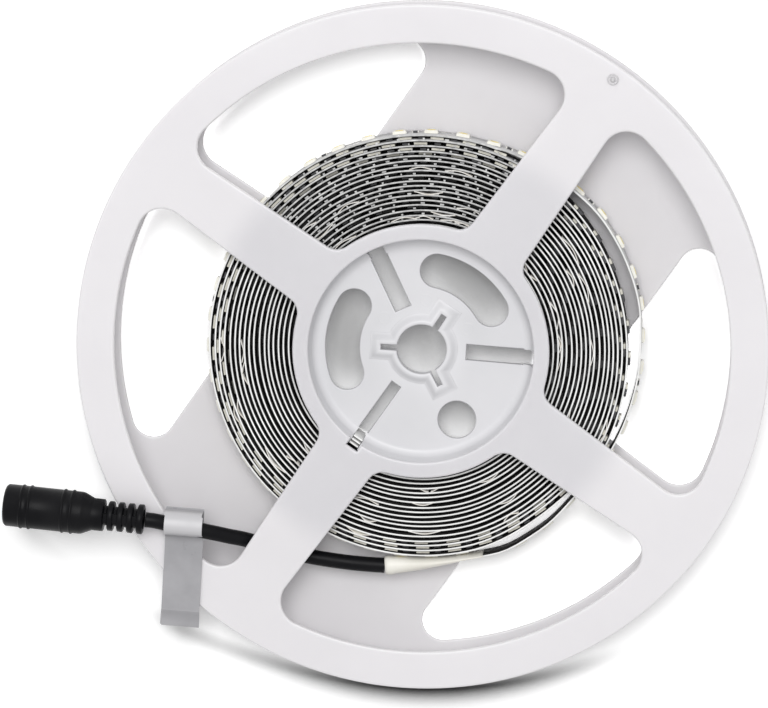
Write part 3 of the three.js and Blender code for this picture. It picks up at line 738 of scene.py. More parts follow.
# %% Hub pieces
BOSS_FOOT_REACH, BOSS_TOP_REACH = 2.9, 0.7
BOSS_SUNK = 0.01
boss_top = FLOOR_TOP + BOSS_HEIGHT
arbor = keyed()
boss_steps = []
for t in np.linspace(0, 1, 13):
    reach = BOSS_FOOT_REACH + (BOSS_TOP_REACH - BOSS_FOOT_REACH) * t
    boss_steps.append((reach, FLOOR_TOP - BOSS_SUNK + (BOSS_HEIGHT + BOSS_SUNK) * eased(t)))
boss_steps += [(0.35, boss_top), (0.1, boss_top - 0.1), (0, boss_top - 0.35), (0, FLOOR_TOP - 2 * BOSS_SUNK)]
boss_ring = swept([[(x, y, z) for x, y in keyed(grow)] for grow, z in boss_steps], closed=True)
round_hole = circle(ROUND_HOLE_RADIUS, 6, polar(*ROUND_HOLE_AT))
kidneys = [kidney(*ends) for ends in KIDNEY_ANGLES]
floor = plate_data([floor_outer, arbor, *kidneys, round_hole], FLOOR_BOTTOM, FLOOR_TOP, 0.3, 0.2)
hub_wall = mesh_piece("hub_wall", joined(*walls), [HUB_PLASTIC])
hub_floor = mesh_piece("hub_floor", floor, [HUB_PLASTIC])
arbor_boss = mesh_piece("arbor_boss", boss_ring, [HUB_PLASTIC])
for made in (hub_wall, hub_floor, arbor_boss):
    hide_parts("reel_back_half")
print("hub floor:", len(floor[1]), "faces")

# %% [markdown]
# ## 12. Marks of the moulding
#
# Where ejector pins pushed the part out and where the plastic was let in, faint rings stay on the
# surface. They are a fraction of a millimetre high. A bump pattern could draw them, but as low rings of
# mesh they keep their place in every view.

# %% Ejector and gate marks
EJECTOR_MARKS = ((85, 12.8), (141, 12.6), (24, 13.0))
GATE_ANGLE, GATE_RADIUS = 55.4, 86.5


def torus_ring(centre, radius, tube, z, sides=28, around=8):
    """A ring with a round section, lying flat."""
    sections = []
    for a in whole_turn(sides):
        sections.append([(centre[0] + (radius + tube * math.cos(b)) * math.cos(a),
                          centre[1] + (radius + tube * math.cos(b)) * math.sin(a),
                          z + tube * math.sin(b)) for b in whole_turn(around)])
    return swept(sections, closed=True)


def dome(centre, radius, height, z, sides=20, rings=4):
    """A low round cap, like the stub that a cut gate leaves."""
    sections = []
    for k in range(rings):
        a = math.pi / 2 * k / rings
        sections.append([(centre[0] + radius * math.cos(a) * math.cos(b),
                          centre[1] + radius * math.cos(a) * math.sin(b), z + height * math.sin(a))
                         for b in whole_turn(sides)])
    return swept(sections)


marks = [torus_ring(polar(radius, angle), 1.5, 0.5, FLOOR_TOP - 0.44) for angle, radius in EJECTOR_MARKS]
moulding_marks = mesh_piece("moulding_marks", joined(*marks), [HUB_PLASTIC])
gate_at = polar(GATE_RADIUS, GATE_ANGLE)
gate_ring = torus_ring(gate_at, 1.25, 0.22, REEL_HEIGHT - 0.05)
gate_mark = mesh_piece(
    "gate_mark", joined(gate_ring, dome(gate_at, 0.75, 0.25, REEL_HEIGHT - 0.03)), [FRONT_PLASTIC]
)
print("marks:", len(marks), "on the hub floor and 1 on the rim")

# %% [markdown]
# ## 13. The strip's curve
#
# The real strip is wound on the hub and its loose outer end stands off a little. Its path is a spiral
# with a few measured lifts. A curve object with a spiral modifier could follow it. A plain function of
# the angle was chosen, because the soldered parts need the same radius again. A slow wander keeps the
# turns from being perfect circles, and behind the loose end the outer turns sag a little.

# %% Radius of the strip at any angle
def tail_radius(angle):
    """Outer radius of the loose end, through its measured lifts without a kink."""
    i = next((k for k, (at, _) in enumerate(TAIL) if at >= angle), len(TAIL) - 1)
    i = min(max(i, 1), len(TAIL) - 1)
    (a0, lift0), (a1, lift1) = TAIL[i - 1], TAIL[i]

    def slope(k):
        before, after = TAIL[max(k - 1, 0)], TAIL[min(k + 1, len(TAIL) - 1)]
        return (after[1] - before[1]) / (after[0] - before[0])

    span = a1 - a0
    t = (angle - a0) / span
    bend = t * (1 - t) ** 2 * span * slope(i - 1) + t * t * (t - 1) * span * slope(i)
    return ROLL_OUTER_RADIUS + lift0 + (lift1 - lift0) * eased(t) + bend


INNER_END = ROOT_ANGLE + 360 * 18 + 165
FIRST_TURN_END = ROOT_ANGLE + 360
SECOND_RADIUS = ROLL_OUTER_RADIUS - ROLL_PITCH


def strip_radius(angle):
    """Radius of the strip's outer face; the angle goes on growing with each turn inwards."""
    if angle < ROOT_ANGLE:
        return tail_radius(angle)
    if angle < FIRST_TURN_END:
        return ROLL_OUTER_RADIUS - ROLL_PITCH * (angle - ROOT_ANGLE) / 360
    share = (angle - FIRST_TURN_END) / (INNER_END - FIRST_TURN_END)
    return SECOND_RADIUS + (ROLL_INNER_FACE + STRIP_THICKNESS - SECOND_RADIUS) * share


SAG_START = FIRST_TURN_END - 152
SAGS = ((5, 62, 1.5), (-51, 27, 1.3))
SLOW_WAVES = ((0.09, 0.83, 1), (0.06, 2.31, 2), (0.03, 5.2, 0))
EDGE_WAVES = ((0.09, 0.31, 0.4), (0.05, 1.7, 0))


def sag(angle):
    """How far the outer turns lie further in behind the loose end, at the right and at the lower right."""
    if angle < SAG_START:
        return 0.0
    depth = (strip_radius(angle) - ROLL_INNER_FACE) / (ROLL_OUTER_RADIUS - ROLL_INNER_FACE)
    total = 0.0
    for middle, spread, most in SAGS:
        across = min(abs((angle - middle + 180) % 360 - 180) / spread, 1)
        total += most * math.cos(across * math.pi / 2) ** 2
    return total * max(depth, 0) ** 1.5


def wander(angle, waves):
    """A sum of sine waves, each given as its size, rate and start."""
    a = math.radians(angle)
    return sum(size * math.sin(rate * a + start) for size, rate, start in waves)


def face_radius(angle):
    """Radius of the strip's outer face as it is shown. Only the wound turns wander and sag."""
    wound_share = min(max((angle - ROOT_ANGLE) / 200, 0), 1)
    return strip_radius(angle) + wound_share * wander(angle, SLOW_WAVES) - sag(angle)


def edge_height(angle):
    """How far the strip's upper edge lies above its mean height."""
    return wander(angle, EDGE_WAVES)


print("radius at the root:", round(strip_radius(ROOT_ANGLE), 2), "and a turn in:", round(SECOND_RADIUS, 2))

# %% [markdown]
# ## 14. Winding the strip
#
# The strip is one thin standing band, wound from its loose end inwards, with its own finish on the outer
# face, the inner face and the two cut edges. Half-way down, a dark sheet of painted shade closes the gap
# between the turns, where on the real roll the soldered parts and the liner nearly touch, so that no light
# comes through from behind.

# %% The wound band and its sheet of painted shade
def in_top_window(angle):
    """Whether an angle lies between the two upper spokes."""
    return SPOKE_ANGLE < angle % 360 < SPOKE_ANGLE + 90


def band_data(angles, radius_of, thickness, low, high, lift=lambda a: 0.0):
    """A standing band. Materials: 0 outer flank, 1 edges, 2 inner flank, 3 edges in the top window in painted
    shade.
    """
    verts, faces, index = [], [], []
    for a in angles:
        r, dz = radius_of(a), lift(a)
        verts += [polar(r, a, low), polar(r, a, high + dz), polar(r - thickness, a, high + dz),
                  polar(r - thickness, a, low)]
    for s in range(len(angles) - 1):
        for i in range(4):
            p, q = 4 * s + i, 4 * s + (i + 1) % 4
            faces.append((p, p + 4, q + 4, q))
            edge = 3 if in_top_window(angles[s]) else 1
            index.append((0, edge, 2, edge)[i])
    faces += [(0, 1, 2, 3), tuple(len(verts) - k for k in (1, 2, 3, 4))]
    index += [1, 1]
    return verts, faces, index


ROLL_STEP, SHADE_SHEET_STEP = 2.5, 4.0
SHADE_SHEET_HEIGHT = STRIP_MIDDLE - 1.2
tail_angles = np.linspace(TAIL[0][0], ROOT_ANGLE, 60)
strip_angles = np.concatenate([tail_angles[:-1], np.arange(ROOT_ANGLE, INNER_END, ROLL_STEP)])
verts, faces, index = band_data(
    strip_angles, face_radius, STRIP_THICKNESS, STRIP_BOTTOM, STRIP_TOP - 0.05, edge_height
)
strip_finishes = [STRIP_FACE, STRIP_EDGE, STRIP_BACK_PAINTED_SHADE, EDGE_SHADE_AND_GLINT]
strip = mesh_piece("wound_strip", (verts, faces, [True] * len(faces)), strip_finishes, index)
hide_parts("strip_roll")
# A dark sheet half-way down between the turns: painted shade, so that no light comes through the gaps from
# behind.
shade_sheet_verts = []
for angle in np.arange(ROOT_ANGLE, INNER_END - 360, SHADE_SHEET_STEP):
    for at in (angle, angle + 360):
        shade_sheet_verts.append(polar(face_radius(at) - STRIP_THICKNESS / 2, angle, SHADE_SHEET_HEIGHT))
shade_sheet_faces = [(i, i + 2, i + 3, i + 1) for i in range(0, len(shade_sheet_verts) - 2, 2)]
gap_shade_sheet = mesh_piece("strip_gap_painted_shade", (shade_sheet_verts, shade_sheet_faces, [True] * len(shade_sheet_faces)), [STRIP_BACK_PAINTED_SHADE])
turned_length = sum(math.radians(b - a) * strip_radius(a) for a, b in zip(strip_angles, strip_angles[1:]))
turns = (INNER_END - TAIL[0][0]) / 360
print("strip:", round(turned_length / 1000, 2), "m long in", round(turns, 1), "turns")

# %% [markdown]
# ## 15. Shapes of the soldered parts
#
# A strip with 120 LEDs per metre has a package every 8.3 mm and a resistor after every third one. A
# package is a pale frame with a round yellow window and four tinned legs. Instances of one bought model
# would do as well; here each part is a few chamfered blocks, drawn once and put in place many times.

# %% LED, resistor and pad shapes
LED_FRAME = finish(
    "led_frame", (0.88, 0.87, 0.80), (0.80, 0.78, 0.70), 0.35, patch=600, grain=5000, strength=0.03
)[0]
LED_WINDOW = finish(
    "led_window", (0.90, 0.76, 0.22), (0.84, 0.66, 0.14), 0.3, patch=900, grain=6000, strength=0.05
)[0]
TINNED = finish(
    "tinned", (0.62, 0.61, 0.58), (0.48, 0.47, 0.45), 0.3, patch=900, grain=5000, strength=0.1, Metallic=1.0
)[0]
RESISTOR_BODY = finish(
    "resistor_body", (0.04, 0.04, 0.045), (0.02, 0.02, 0.022), 0.4, patch=900, grain=5000, strength=0.05
)[0]


def shifted(data, centre, outward_angle, lift):
    """A small part drawn with X outward, Y along the strip and Z up, put on the strip's outer face."""
    c, s = math.cos(math.radians(outward_angle)), math.sin(math.radians(outward_angle))
    verts = [(centre[0] + (x + lift) * c - y * s, centre[1] + (x + lift) * s + y * c, centre[2] + z)
             for x, y, z in data[0]]
    return verts, data[1], data[2]


def chamfered_box(depth, length, width, chamfer):
    """A block with X from 0 to its depth and its outer rim chamfered."""
    sections = []
    for x, shrink in ((0, 0), (depth - chamfer, 0), (depth, chamfer)):
        ly, lz = length / 2 - shrink, width / 2 - shrink
        sections.append([(x, -ly, -lz), (x, ly, -lz), (x, ly, lz), (x, -ly, lz)])
    return swept(sections, smooth=False)


def disc_plate(x0, x1, radius, sides=20):
    """A round disc between two depths."""
    ring = whole_turn(sides)
    return swept([[(x, radius * math.cos(a), radius * math.sin(a)) for a in ring] for x in (x0, x1)])


def material_index(parts):
    """A material number for each face, one number per part."""
    return [k for k, part in enumerate(parts) for _ in part[1]]


leg_places = [(0.22, y, z) for y in (LED_LENGTH / 2, -LED_LENGTH / 2) for z in (0.72, -0.72)]
led_parts = [
    chamfered_box(LED_HEIGHT, LED_LENGTH - 0.1, LED_WIDTH, 0.12),
    disc_plate(LED_HEIGHT - 0.02, LED_HEIGHT + 0.03, 1.12),
    joined(*[boxed(place, (0.4, 0.35, 0.8)) for place in leg_places]),
]
resistor_parts = [
    boxed((0.25, 0, 0), (0.46, 1.25, 1.22)),
    joined(*[boxed((0.25, y, 0), (0.5, 0.4, 1.25)) for y in (0.8, -0.8)]),
]
pad_group = joined(*[boxed((0.02, y, z), (0.06, 1.5, 1.5)) for y in (-1.0, 1.0) for z in (-2.6, 2.6)])
print("LED faces:", sum(len(part[1]) for part in led_parts))

# %% [markdown]
# ## 16. The outer turn's parts
#
# On the outermost turn the parts are seen from the side, so they are placed one by one, square to the
# strip at their own place. Each takes over from its solid where there is one. The last six LEDs of the
# turn have no solid and are only shown.

# %% Parts on the outside
LEDS_ON_OUTSIDE = 42
RESISTOR_AFTER_LED = 4.2
GAP_TO_STRIP = 0.02


def on_strip(name, parts, materials, angle):
    """Puts a small part on the outermost face, square to the strip there."""
    reach = math.degrees(1.6 / ROLL_OUTER_RADIUS)
    p, q = (polar(face_radius(a), a) for a in (angle - reach, angle + reach))
    outward = math.degrees(math.atan2(q[1] - p[1], q[0] - p[0])) - 90
    centre = polar(face_radius(angle), angle, STRIP_MIDDLE)
    placed = [shifted(part, centre, outward, GAP_TO_STRIP) for part in parts]
    return mesh_piece(name, joined(*placed), materials, material_index(placed))


for i in range(LEDS_ON_OUTSIDE):
    angle = LED_FIRST_ANGLE + LED_STEP_ANGLE * i
    made = on_strip(f"led_look_{i + 1:02d}", led_parts, [LED_FRAME, LED_WINDOW, TINNED], angle)
    if f"led_{i + 1:02d}" in frame["nodes"]:
        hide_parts(f"led_{i + 1:02d}")
    if i % 3 == 0:
        number = 1 + i // 3
        made = on_strip(f"resistor_look_{number:02d}", resistor_parts, [RESISTOR_BODY, TINNED],
                        angle + RESISTOR_AFTER_LED)
        if f"resistor_{number:02d}" in frame["nodes"]:
            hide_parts(f"resistor_{number:02d}")
pads = []
for i in range(1, LEDS_ON_OUTSIDE, 3):
    angle = LED_FIRST_ANGLE + LED_STEP_ANGLE * (i + 1.5)
    pads.append(shifted(pad_group, polar(face_radius(angle), angle, STRIP_MIDDLE), angle, 0))
solder_pads = mesh_piece("solder_pads", joined(*pads), [TINNED])
print("LEDs outside:", LEDS_ON_OUTSIDE)

# %% [markdown]
# ## 17. Parts between the turns
#
# Between the turns only the ends of the packages show, as small pale or dark blocks in the outer gaps,
# and further in they are painted nearly black, as painted shade, since it is too dark there to see them.
# In the outermost gaps they are shown a little nearer the front, where they catch the light, and at the
# right each is a dark and a pale part. The wide gap behind the loose end shows none of the first five. In
# the top window tiny specks of solder show on the strip's outer face, whose pale tone is a painted glint.
# Plain boxes in one mesh are enough for both. The seed makes the same random places each time.

# %% Blocks and specks in the gaps
random.seed(7)
LED_SPACING = 25 / 3
UNSEEN_LEDS = 5
RAISED_BEYOND, RAISED_BY = 50.5, 1.7
RIGHT_WINDOW_START, RIGHT_WINDOW_SPAN = -35, 90
INNER_LED, tree, shader = finish(
    "inner_led", (0.80, 0.78, 0.70), (0.62, 0.60, 0.52), 0.4, patch=600, grain=4000, strength=0.05,
    Specular_IOR_Level=0.1
)
# Painted shade: the blocks further in than the outermost gaps are near black.
ring_painted_shading(tree, shader, (0.035, 0.035, 0.04), 49.8, 52.6)
blocks, index = [], []


def add_block(at, radius, gap, size, kind):
    """A block over a turn's outer face. kind is 0 for a pale one and 1 for a dark one."""
    middle = STRIP_MIDDLE + (RAISED_BY if radius > RAISED_BEYOND else 0)
    blocks.append(boxed(polar(radius + gap + size[0] / 2, at, middle), (*size, LED_WIDTH), at))
    index.extend([kind] * 6)


angle = LED_FIRST_ANGLE + LED_STEP_ANGLE * (LEDS_ON_OUTSIDE + UNSEEN_LEDS)
while angle < INNER_END - 10:
    radius = face_radius(angle)
    if (angle - RIGHT_WINDOW_START) % 360 < RIGHT_WINDOW_SPAN:
        add_block(angle - math.degrees(0.7 / radius), radius, 0.06, (0.6, 2.0), 1)
        add_block(angle + math.degrees(1.0 / radius), radius, 0.06, (0.6, 1.3), 0)
    else:
        add_block(angle, radius, 0.06, (0.6, 3.4), 0)
        add_block(angle + RESISTOR_AFTER_LED, radius, 0.1, (0.4, 1.6), 1)
    angle += math.degrees(LED_SPACING / radius)
inner_leds = mesh_piece("inner_leds", joined(*blocks), [INNER_LED, RESISTOR_BODY], index)
# Specks of solder on the strip's outer face, whose pale tone is a painted glint.
specks = []
for turn in range(1, 18):
    angle = SPOKE_ANGLE + random.uniform(2, 6)
    while angle < SPOKE_ANGLE + 88:
        radius = face_radius(360 * turn + angle)
        specks.append(boxed(polar(radius + 0.22, angle, STRIP_TOP - random.uniform(0.5, 1.4)),
                            (0.44, random.uniform(0.3, 1.1), 0.5), angle))
        angle += math.degrees(random.uniform(2.5, 7.5) / radius)
solder_glint_specks = mesh_piece("solder_glint_specks", joined(*specks), [EDGE_SHADE_AND_GLINT])
print("between the turns:", len(blocks), "blocks and", len(specks), "specks")

# %% [markdown]
# ## 18. Loosened liner between the turns
#
# The paper liner on the strip's back lifts in small blisters, which show as thin lens shapes in the gaps.
# A cloth simulation could lift it; a short band that swells and comes back to the strip looks the same
# from above and takes one line of cosine. The strip's inner end shows beyond the hub's notch as three
# short layers.

# %% Liner blisters and the inner end
LINER = finish(
    "liner", (0.93, 0.92, 0.90), (0.74, 0.69, 0.61), 0.5, patch=300, grain=3000, strength=0.1
)[0]
BLISTERS = 46
LINER_THICKNESS = 0.2
INNER_END_RADII = (28.6, 29.6, 30.6)


def blister_radius(angle, middle, half, bulge, side):
    """Outer radius of a loose bit of liner, which bulges out (side 1) or in (side -1)."""
    rise = bulge * max(math.cos((angle - middle) / half * math.pi / 2), 0) ** 1.3
    if side > 0:
        return face_radius(angle) + rise + 0.06
    return face_radius(angle) - STRIP_THICKNESS - rise


loops = []
for _ in range(BLISTERS):
    middle = ROOT_ANGLE + 360 * random.uniform(1.0, 17.2)
    half = math.degrees(random.uniform(4.5, 9.0) / 2 / strip_radius(middle))
    bulge = random.uniform(0.55, 1.0)
    side = random.choice((1, 1, -1))
    verts, faces, _ = band_data(
        np.linspace(middle - half, middle + half, 13), lambda a: blister_radius(a, middle, half, bulge, side),
        LINER_THICKNESS, STRIP_BOTTOM + 2, STRIP_TOP + random.uniform(-0.15, 0.1)
    )
    loops.append((verts, faces, [True] * len(faces)))
liner_blisters = mesh_piece("liner_blisters", joined(*loops), [LINER])
stubs = []
for k, radius in enumerate(INNER_END_RADII):
    centre = polar(radius, NOTCH_ANGLE, STRIP_BOTTOM + 5.4 + 0.1 * k)
    stubs.append(boxed(centre, (STRIP_THICKNESS, 2.6, 9.6), NOTCH_ANGLE))
inner_end = mesh_piece("strip_inner_end", joined(*stubs), [STRIP_EDGE])
print("blisters:", len(loops))

# %% [markdown]
# ## 19. The lead
#
# The lead is a soft black cord: it leaves the sleeve, passes under a spoke of the front flange, rises
# through the window and runs over the rim to its socket. A curve with a round bevel suits a cord best,
# because its length can be measured and its route bent again later. The points follow the route of the
# solid.

# %% The lead as a curve
SLEEVE = finish(
    "sleeve", (0.84, 0.82, 0.76), (0.76, 0.74, 0.67), 0.42, patch=150, grain=1500, strength=0.15
)[0]
BLACK_PVC = finish(
    "black_pvc", (0.007, 0.007, 0.008), (0.003, 0.003, 0.004), 0.38, patch=120, grain=1800, strength=0.2,
    wear=0.1, Specular_IOR_Level=0.09
)[0]
BLACK_HARD = finish(
    "black_hard", (0.025, 0.025, 0.025), (0.015, 0.015, 0.015), 0.25, patch=200, grain=3000, strength=0.05
)[0]
LEAD_RADIUS = 2
LEAD_ROUTE = (
    (-10.02, -58.81, 5.5), (-14.5, -58.6, 5.5), (-19.15, -58.2, 5.6), (-24.4, -57.5, 5.9),
    (-29.43, -56.62, 6.3), (-33.8, -55.6, 6.9), (-38.04, -54.43, 7.6), (-41.5, -53.2, 8.5),
    (-44.7, -51.94, 9.7), (-47.5, -50.95, 11.1), (-50.3, -50.1, 12.6), (-53.3, -49.1, 14.2),
    (-56.5, -48.14, 15.6), (-59.1, -47.4, 16.3), (-61.75, -46.8, 16.6), (-64.4, -46.25, 16.75),
    (-66.9, -45.78, 17.2), (-69.4, -45.12, 17.9), (-71.75, -44.79, 18.25),
)


def smooth_line(points, per_span):
    """A Catmull-Rom line through the points."""
    p = [np.array(q, float) for q in points]
    p = [2 * p[0] - p[1], *p, 2 * p[-1] - p[-2]]
    line = []
    for i in range(1, len(p) - 2):
        for t in np.linspace(0, 1, per_span, endpoint=False):
            line.append(0.5 * (2 * p[i] + (p[i + 1] - p[i - 1]) * t
                               + (2 * p[i - 1] - 5 * p[i] + 4 * p[i + 1] - p[i + 2]) * t**2
                               + (3 * p[i] - 3 * p[i + 1] + p[i + 2] - p[i - 1]) * t**3))
    line.append(p[-2])
    return np.array(line)


route = smooth_line(LEAD_ROUTE, 5)
lead_data = bpy.data.curves.new("lead", "CURVE")
lead_data.dimensions = "3D"
lead_data.bevel_depth = LEAD_RADIUS * MM
lead_data.bevel_resolution = 7
lead_data.use_fill_caps = True
spline = lead_data.splines.new("POLY")
spline.points.add(len(route) - 1)
spline.points.foreach_set("co", np.c_[route * MM, np.ones(len(route))].astype(np.float32).ravel())
spline.use_smooth = True
lead_data.materials.append(BLACK_PVC)
lead = bpy.data.objects.new("lead", lead_data)
scene.collection.objects.link(lead)
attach(lead, "root")
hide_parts("lead_cable")
lead_length = float(np.linalg.norm(np.diff(route, axis=0), axis=1).sum()) * MM
print("lead:", round(lead_length, 4), "m")

# %% [markdown]
# ## 20. The shrunk sleeve
#
# Heat-shrink tube covers the joint between the lead and the strip. It is round over the lead, flat over
# the strip, and creased between them. A sweep through ovals that change from one to the other was chosen
# over sculpting, since it follows both ends exactly.

# %% The sleeve
SLEEVE_LEAD_END, SLEEVE_MIDDLE = (-9.72, -58.78), (2.1, -57.6)
ROUND_HALF, FLAT_HALF_THICKNESS, FLAT_HALF_HEIGHT = 2.42, 0.62, 4.2
SLEEVE_OVER_TIP = 0.6
tail_angle = TAIL[0][0]
tail_tip = np.array(polar(tail_radius(tail_angle) - STRIP_THICKNESS / 2, tail_angle))
toward = np.array(SLEEVE_MIDDLE) - tail_tip
tail_tip = tail_tip - toward / np.linalg.norm(toward) * SLEEVE_OVER_TIP
flat_line = smooth_line([(*SLEEVE_LEAD_END, 0), (*SLEEVE_MIDDLE, 0), (*tail_tip, 0)], 14)
sleeve_sections = []
for k, point in enumerate(flat_line):
    t = k / (len(flat_line) - 1)
    along = flat_line[min(k + 1, len(flat_line) - 1)] - flat_line[max(k - 1, 0)]
    along /= np.linalg.norm(along)
    across = np.array((-along[1], along[0]))
    thick = ROUND_HALF + (FLAT_HALF_THICKNESS - ROUND_HALF) * eased(t)
    tall = ROUND_HALF + (FLAT_HALF_HEIGHT - ROUND_HALF) * eased(t)
    lip = 0.14 if k in (1, 2) else 0
    ring = []
    for a in whole_turn(28):
        crease = 1 + 0.035 * math.sin(3 * a + 9 * t) * math.sin(math.pi * t)
        side = (thick + lip) * math.cos(a) * crease
        ring.append((point[0] + across[0] * side, point[1] + across[1] * side,
                     STRIP_MIDDLE + 0.3 * t + (tall + lip) * math.sin(a)))
    sleeve_sections.append(ring)
sleeve = mesh_piece("shrunk_sleeve", swept(sleeve_sections), [SLEEVE])
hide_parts("solder_sleeve")
print("sleeve:", len(sleeve_sections), "sections")

# %% [markdown]
# ## 21. A lathe for the socket
#
# A barrel socket is turned in shape, so it is drawn as half a profile and swept about its own axis, which
# is not one of the frame's. Blender's screw modifier does that too, but it needs the object to be turned
# first. Cutting each corner back by a short chamfer gives the soft edges of moulded rubber.

# %% The axis and the lathe
SOCKET_START, SOCKET_TIP = np.array((-72.24, -44.73, 18.3)), np.array((-108.76, -41.49, 17.6))
SOCKET_RADIUS = 5.55
socket_length = float(np.linalg.norm(SOCKET_TIP - SOCKET_START))
axis = (SOCKET_TIP - SOCKET_START) / socket_length
side_way = np.cross(axis, (0, 0, 1))
side_way /= np.linalg.norm(side_way)
up_way = np.cross(side_way, axis)


def along_socket(profile, sides=48):
    """A [radius, distance] profile turned about the socket's axis, closed on itself or at the axis."""
    sections = []
    for r, d in profile:
        centre = SOCKET_START + axis * d
        ring = [centre + r * (math.cos(a) * side_way + math.sin(a) * up_way) for a in whole_turn(sides)]
        sections.append(ring[::-1])
    return swept(sections)


def softened(profile, radius):
    """The profile with each corner cut back by a short chamfer."""
    points = [np.array(p, float) for p in profile]
    out = [points[0]]
    for a, b, c in zip(points, points[1:], points[2:]):
        u, v = a - b, c - b
        lu, lv = np.linalg.norm(u), np.linalg.norm(v)
        if lu < 1e-6 or lv < 1e-6:
            out.append(b)
            continue
        cut = min(radius, lu * 0.35, lv * 0.35)
        out += [b + u / lu * cut, b + v / lv * cut]
    out.append(points[-1])
    return [tuple(p) for p in out]


print("socket:", round(socket_length, 1), "mm long")

# %% [markdown]
# ## 22. The socket's body
#
# The moulded body has two pairs of grip rings, a taper and a strain relief. The relief is a stack of four
# ribs on a narrower core, and a web along its top and its bottom joins them, so that it bends sideways
# only.

# %% The moulded body
RIB_STARTS, GRIP_STARTS = (0, 2.6, 5.2, 7.8), (18.4, 20.7, 29.6, 31.7)
CORE_RADIUS, RIB_RADIUS, NECK_RADIUS = 2.6, 3.95, 4.25
GRIP_HEIGHT = 0.28
MOUTH_RADIUS, MOUTH_DEPTH = 4.5, 12.9
body_profile = [(0.3, 0), (2.7, 0)]
for start in RIB_STARTS:
    body_profile += [(CORE_RADIUS, start), (RIB_RADIUS, start + 0.05), (RIB_RADIUS - 0.05, start + 1.45),
                     (CORE_RADIUS, start + 1.5)]
body_profile += [(CORE_RADIUS, 10.4), (NECK_RADIUS, 10.4), (NECK_RADIUS, 13.3), (SOCKET_RADIUS - 0.1, 15.9),
                 (SOCKET_RADIUS, 16.6)]
for start in GRIP_STARTS:
    body_profile += [(SOCKET_RADIUS, start), (SOCKET_RADIUS + GRIP_HEIGHT, start + 0.2),
                     (SOCKET_RADIUS + GRIP_HEIGHT, start + 0.6), (SOCKET_RADIUS, start + 0.8)]
body_profile += [(SOCKET_RADIUS, socket_length - 0.6), (SOCKET_RADIUS - 0.6, socket_length),
                 (MOUTH_RADIUS, socket_length), (MOUTH_RADIUS, socket_length - MOUTH_DEPTH),
                 (0.3, socket_length - MOUTH_DEPTH)]
body = along_socket(softened(body_profile, 0.18))
webs = []
for side in (-1, 1):
    middle = SOCKET_START + axis * 5.1 + up_way * side * CORE_RADIUS
    corners = []
    for d in (-4.9, 5.2):
        corners.append([middle + axis * d + side_way * sx * 1.2 + up_way * sz * 0.75
                        for sx, sz in ((-1, -1), (1, -1), (1, 1), (-1, 1))])
    webs.append(swept(corners, smooth=False))
socket_data = joined(body, *webs)
socket = mesh_piece("socket_shell", socket_data, [BLACK_PVC])
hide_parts("socket_body")
print("socket body:", len(socket_data[1]), "faces")

# %% [markdown]
# ## 23. The socket's contacts
#
# In the mouth sits a hard black insert with a bore for the plug, and in its middle a nickel plated pin.
# The spring contact beside it is small and hidden, so its solid is kept and only gets the same metal.

# %% Insert, pin and spring
top = socket_length - 0.2
insert_foot, bore_floor = top - 12.4, top - 9.9
PIN_RADIUS, BORE_RADIUS, INSERT_RADIUS = 1.05, 2.9, 4.2
insert_data = along_socket(softened([(1.4, insert_foot), (INSERT_RADIUS, insert_foot), (INSERT_RADIUS, top),
                                     (BORE_RADIUS, top), (BORE_RADIUS, bore_floor), (1.4, bore_floor),
                                     (1.4, insert_foot)], 0.15))
insert_data = (insert_data[0], insert_data[1][:-2], insert_data[2][:-2])
insert = mesh_piece("barrel_insert", insert_data, [BLACK_HARD])
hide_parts("socket_insert")
pin_data = along_socket([(0.1, insert_foot), (PIN_RADIUS, insert_foot), (PIN_RADIUS, socket_length - 2.0),
                         (0.75, socket_length - 1.55), (0.35, socket_length - 1.4),
                         (0.1, socket_length - 1.4)], 24)
pin = mesh_piece("centre_pin", pin_data, [TINNED])
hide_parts("socket_centre_pin")
spring = frame["nodes"]["socket_spring_contact"]
spring.data.materials.clear()
spring.data.materials.append(TINNED)
print("insert and pin:", len(insert_data[1]), "and", len(pin_data[1]), "faces")

# %% [markdown]
# ## 24. The holding tape
#
# One length of grey film tape comes out over the rim, goes up over the lead, down through the window and
# back under the flange, and its two ends stick together past the rim. A cloth simulation would find such
# a fold by itself, but slowly. Here its side view is drawn as a line and swept across the tape's width,
# which keeps it clear of the rim and the lead. Where it arches over the lead it is painted paler by a mask
# by height, as a painted sheen of the light on the bend.

# %% The tape
TAPE, tree, shader = finish(
    "tape", (0.37, 0.366, 0.382), (0.30, 0.297, 0.311), 0.34, patch=120, grain=700, strength=0.12, wear=0.1
)
# Painted sheen: the tape is painted paler where it arches high over the lead, for the light on the bend.
SHEEN_FROM, SHEEN_TO, TAPE_PAINTED_SHEEN = 14.8, 17.2, (0.53, 0.525, 0.54)
place = add(tree, "ShaderNodeTexCoord")
height = add(tree, "ShaderNodeSeparateXYZ")
tree.links.new(place.outputs["Object"], height.inputs[0])
pale = ranged(tree, height.outputs["Z"], SHEEN_FROM * MM, SHEEN_TO * MM, 0, 1, "SMOOTHSTEP")
tree.links.new(mixed(tree, pale, colour_source(shader), TAPE_PAINTED_SHEEN), shader.inputs["Base Color"])
TAPE_WIDTH, TAPE_THICKNESS = 10, 0.16
TAPE_CENTRE, TAPE_HEADING = (-61.8, -46.85), -93.5
ARCH_CENTRE, ARCH_HEIGHT = 16.6, 2.8
over = REEL_HEIGHT + 0.3 + TAPE_THICKNESS / 2
under = FRONT_BOTTOM - 0.3 - TAPE_THICKNESS / 2
joint = (over + under) / 2
line = [(27.6, joint + 0.14), (26, joint + 0.14), (24.6, joint + 0.5), (23.2, over), (22.2, over),
        (14, over), (4.1, over), (3.35, over + 0.12), (2.75, over + 0.8)]
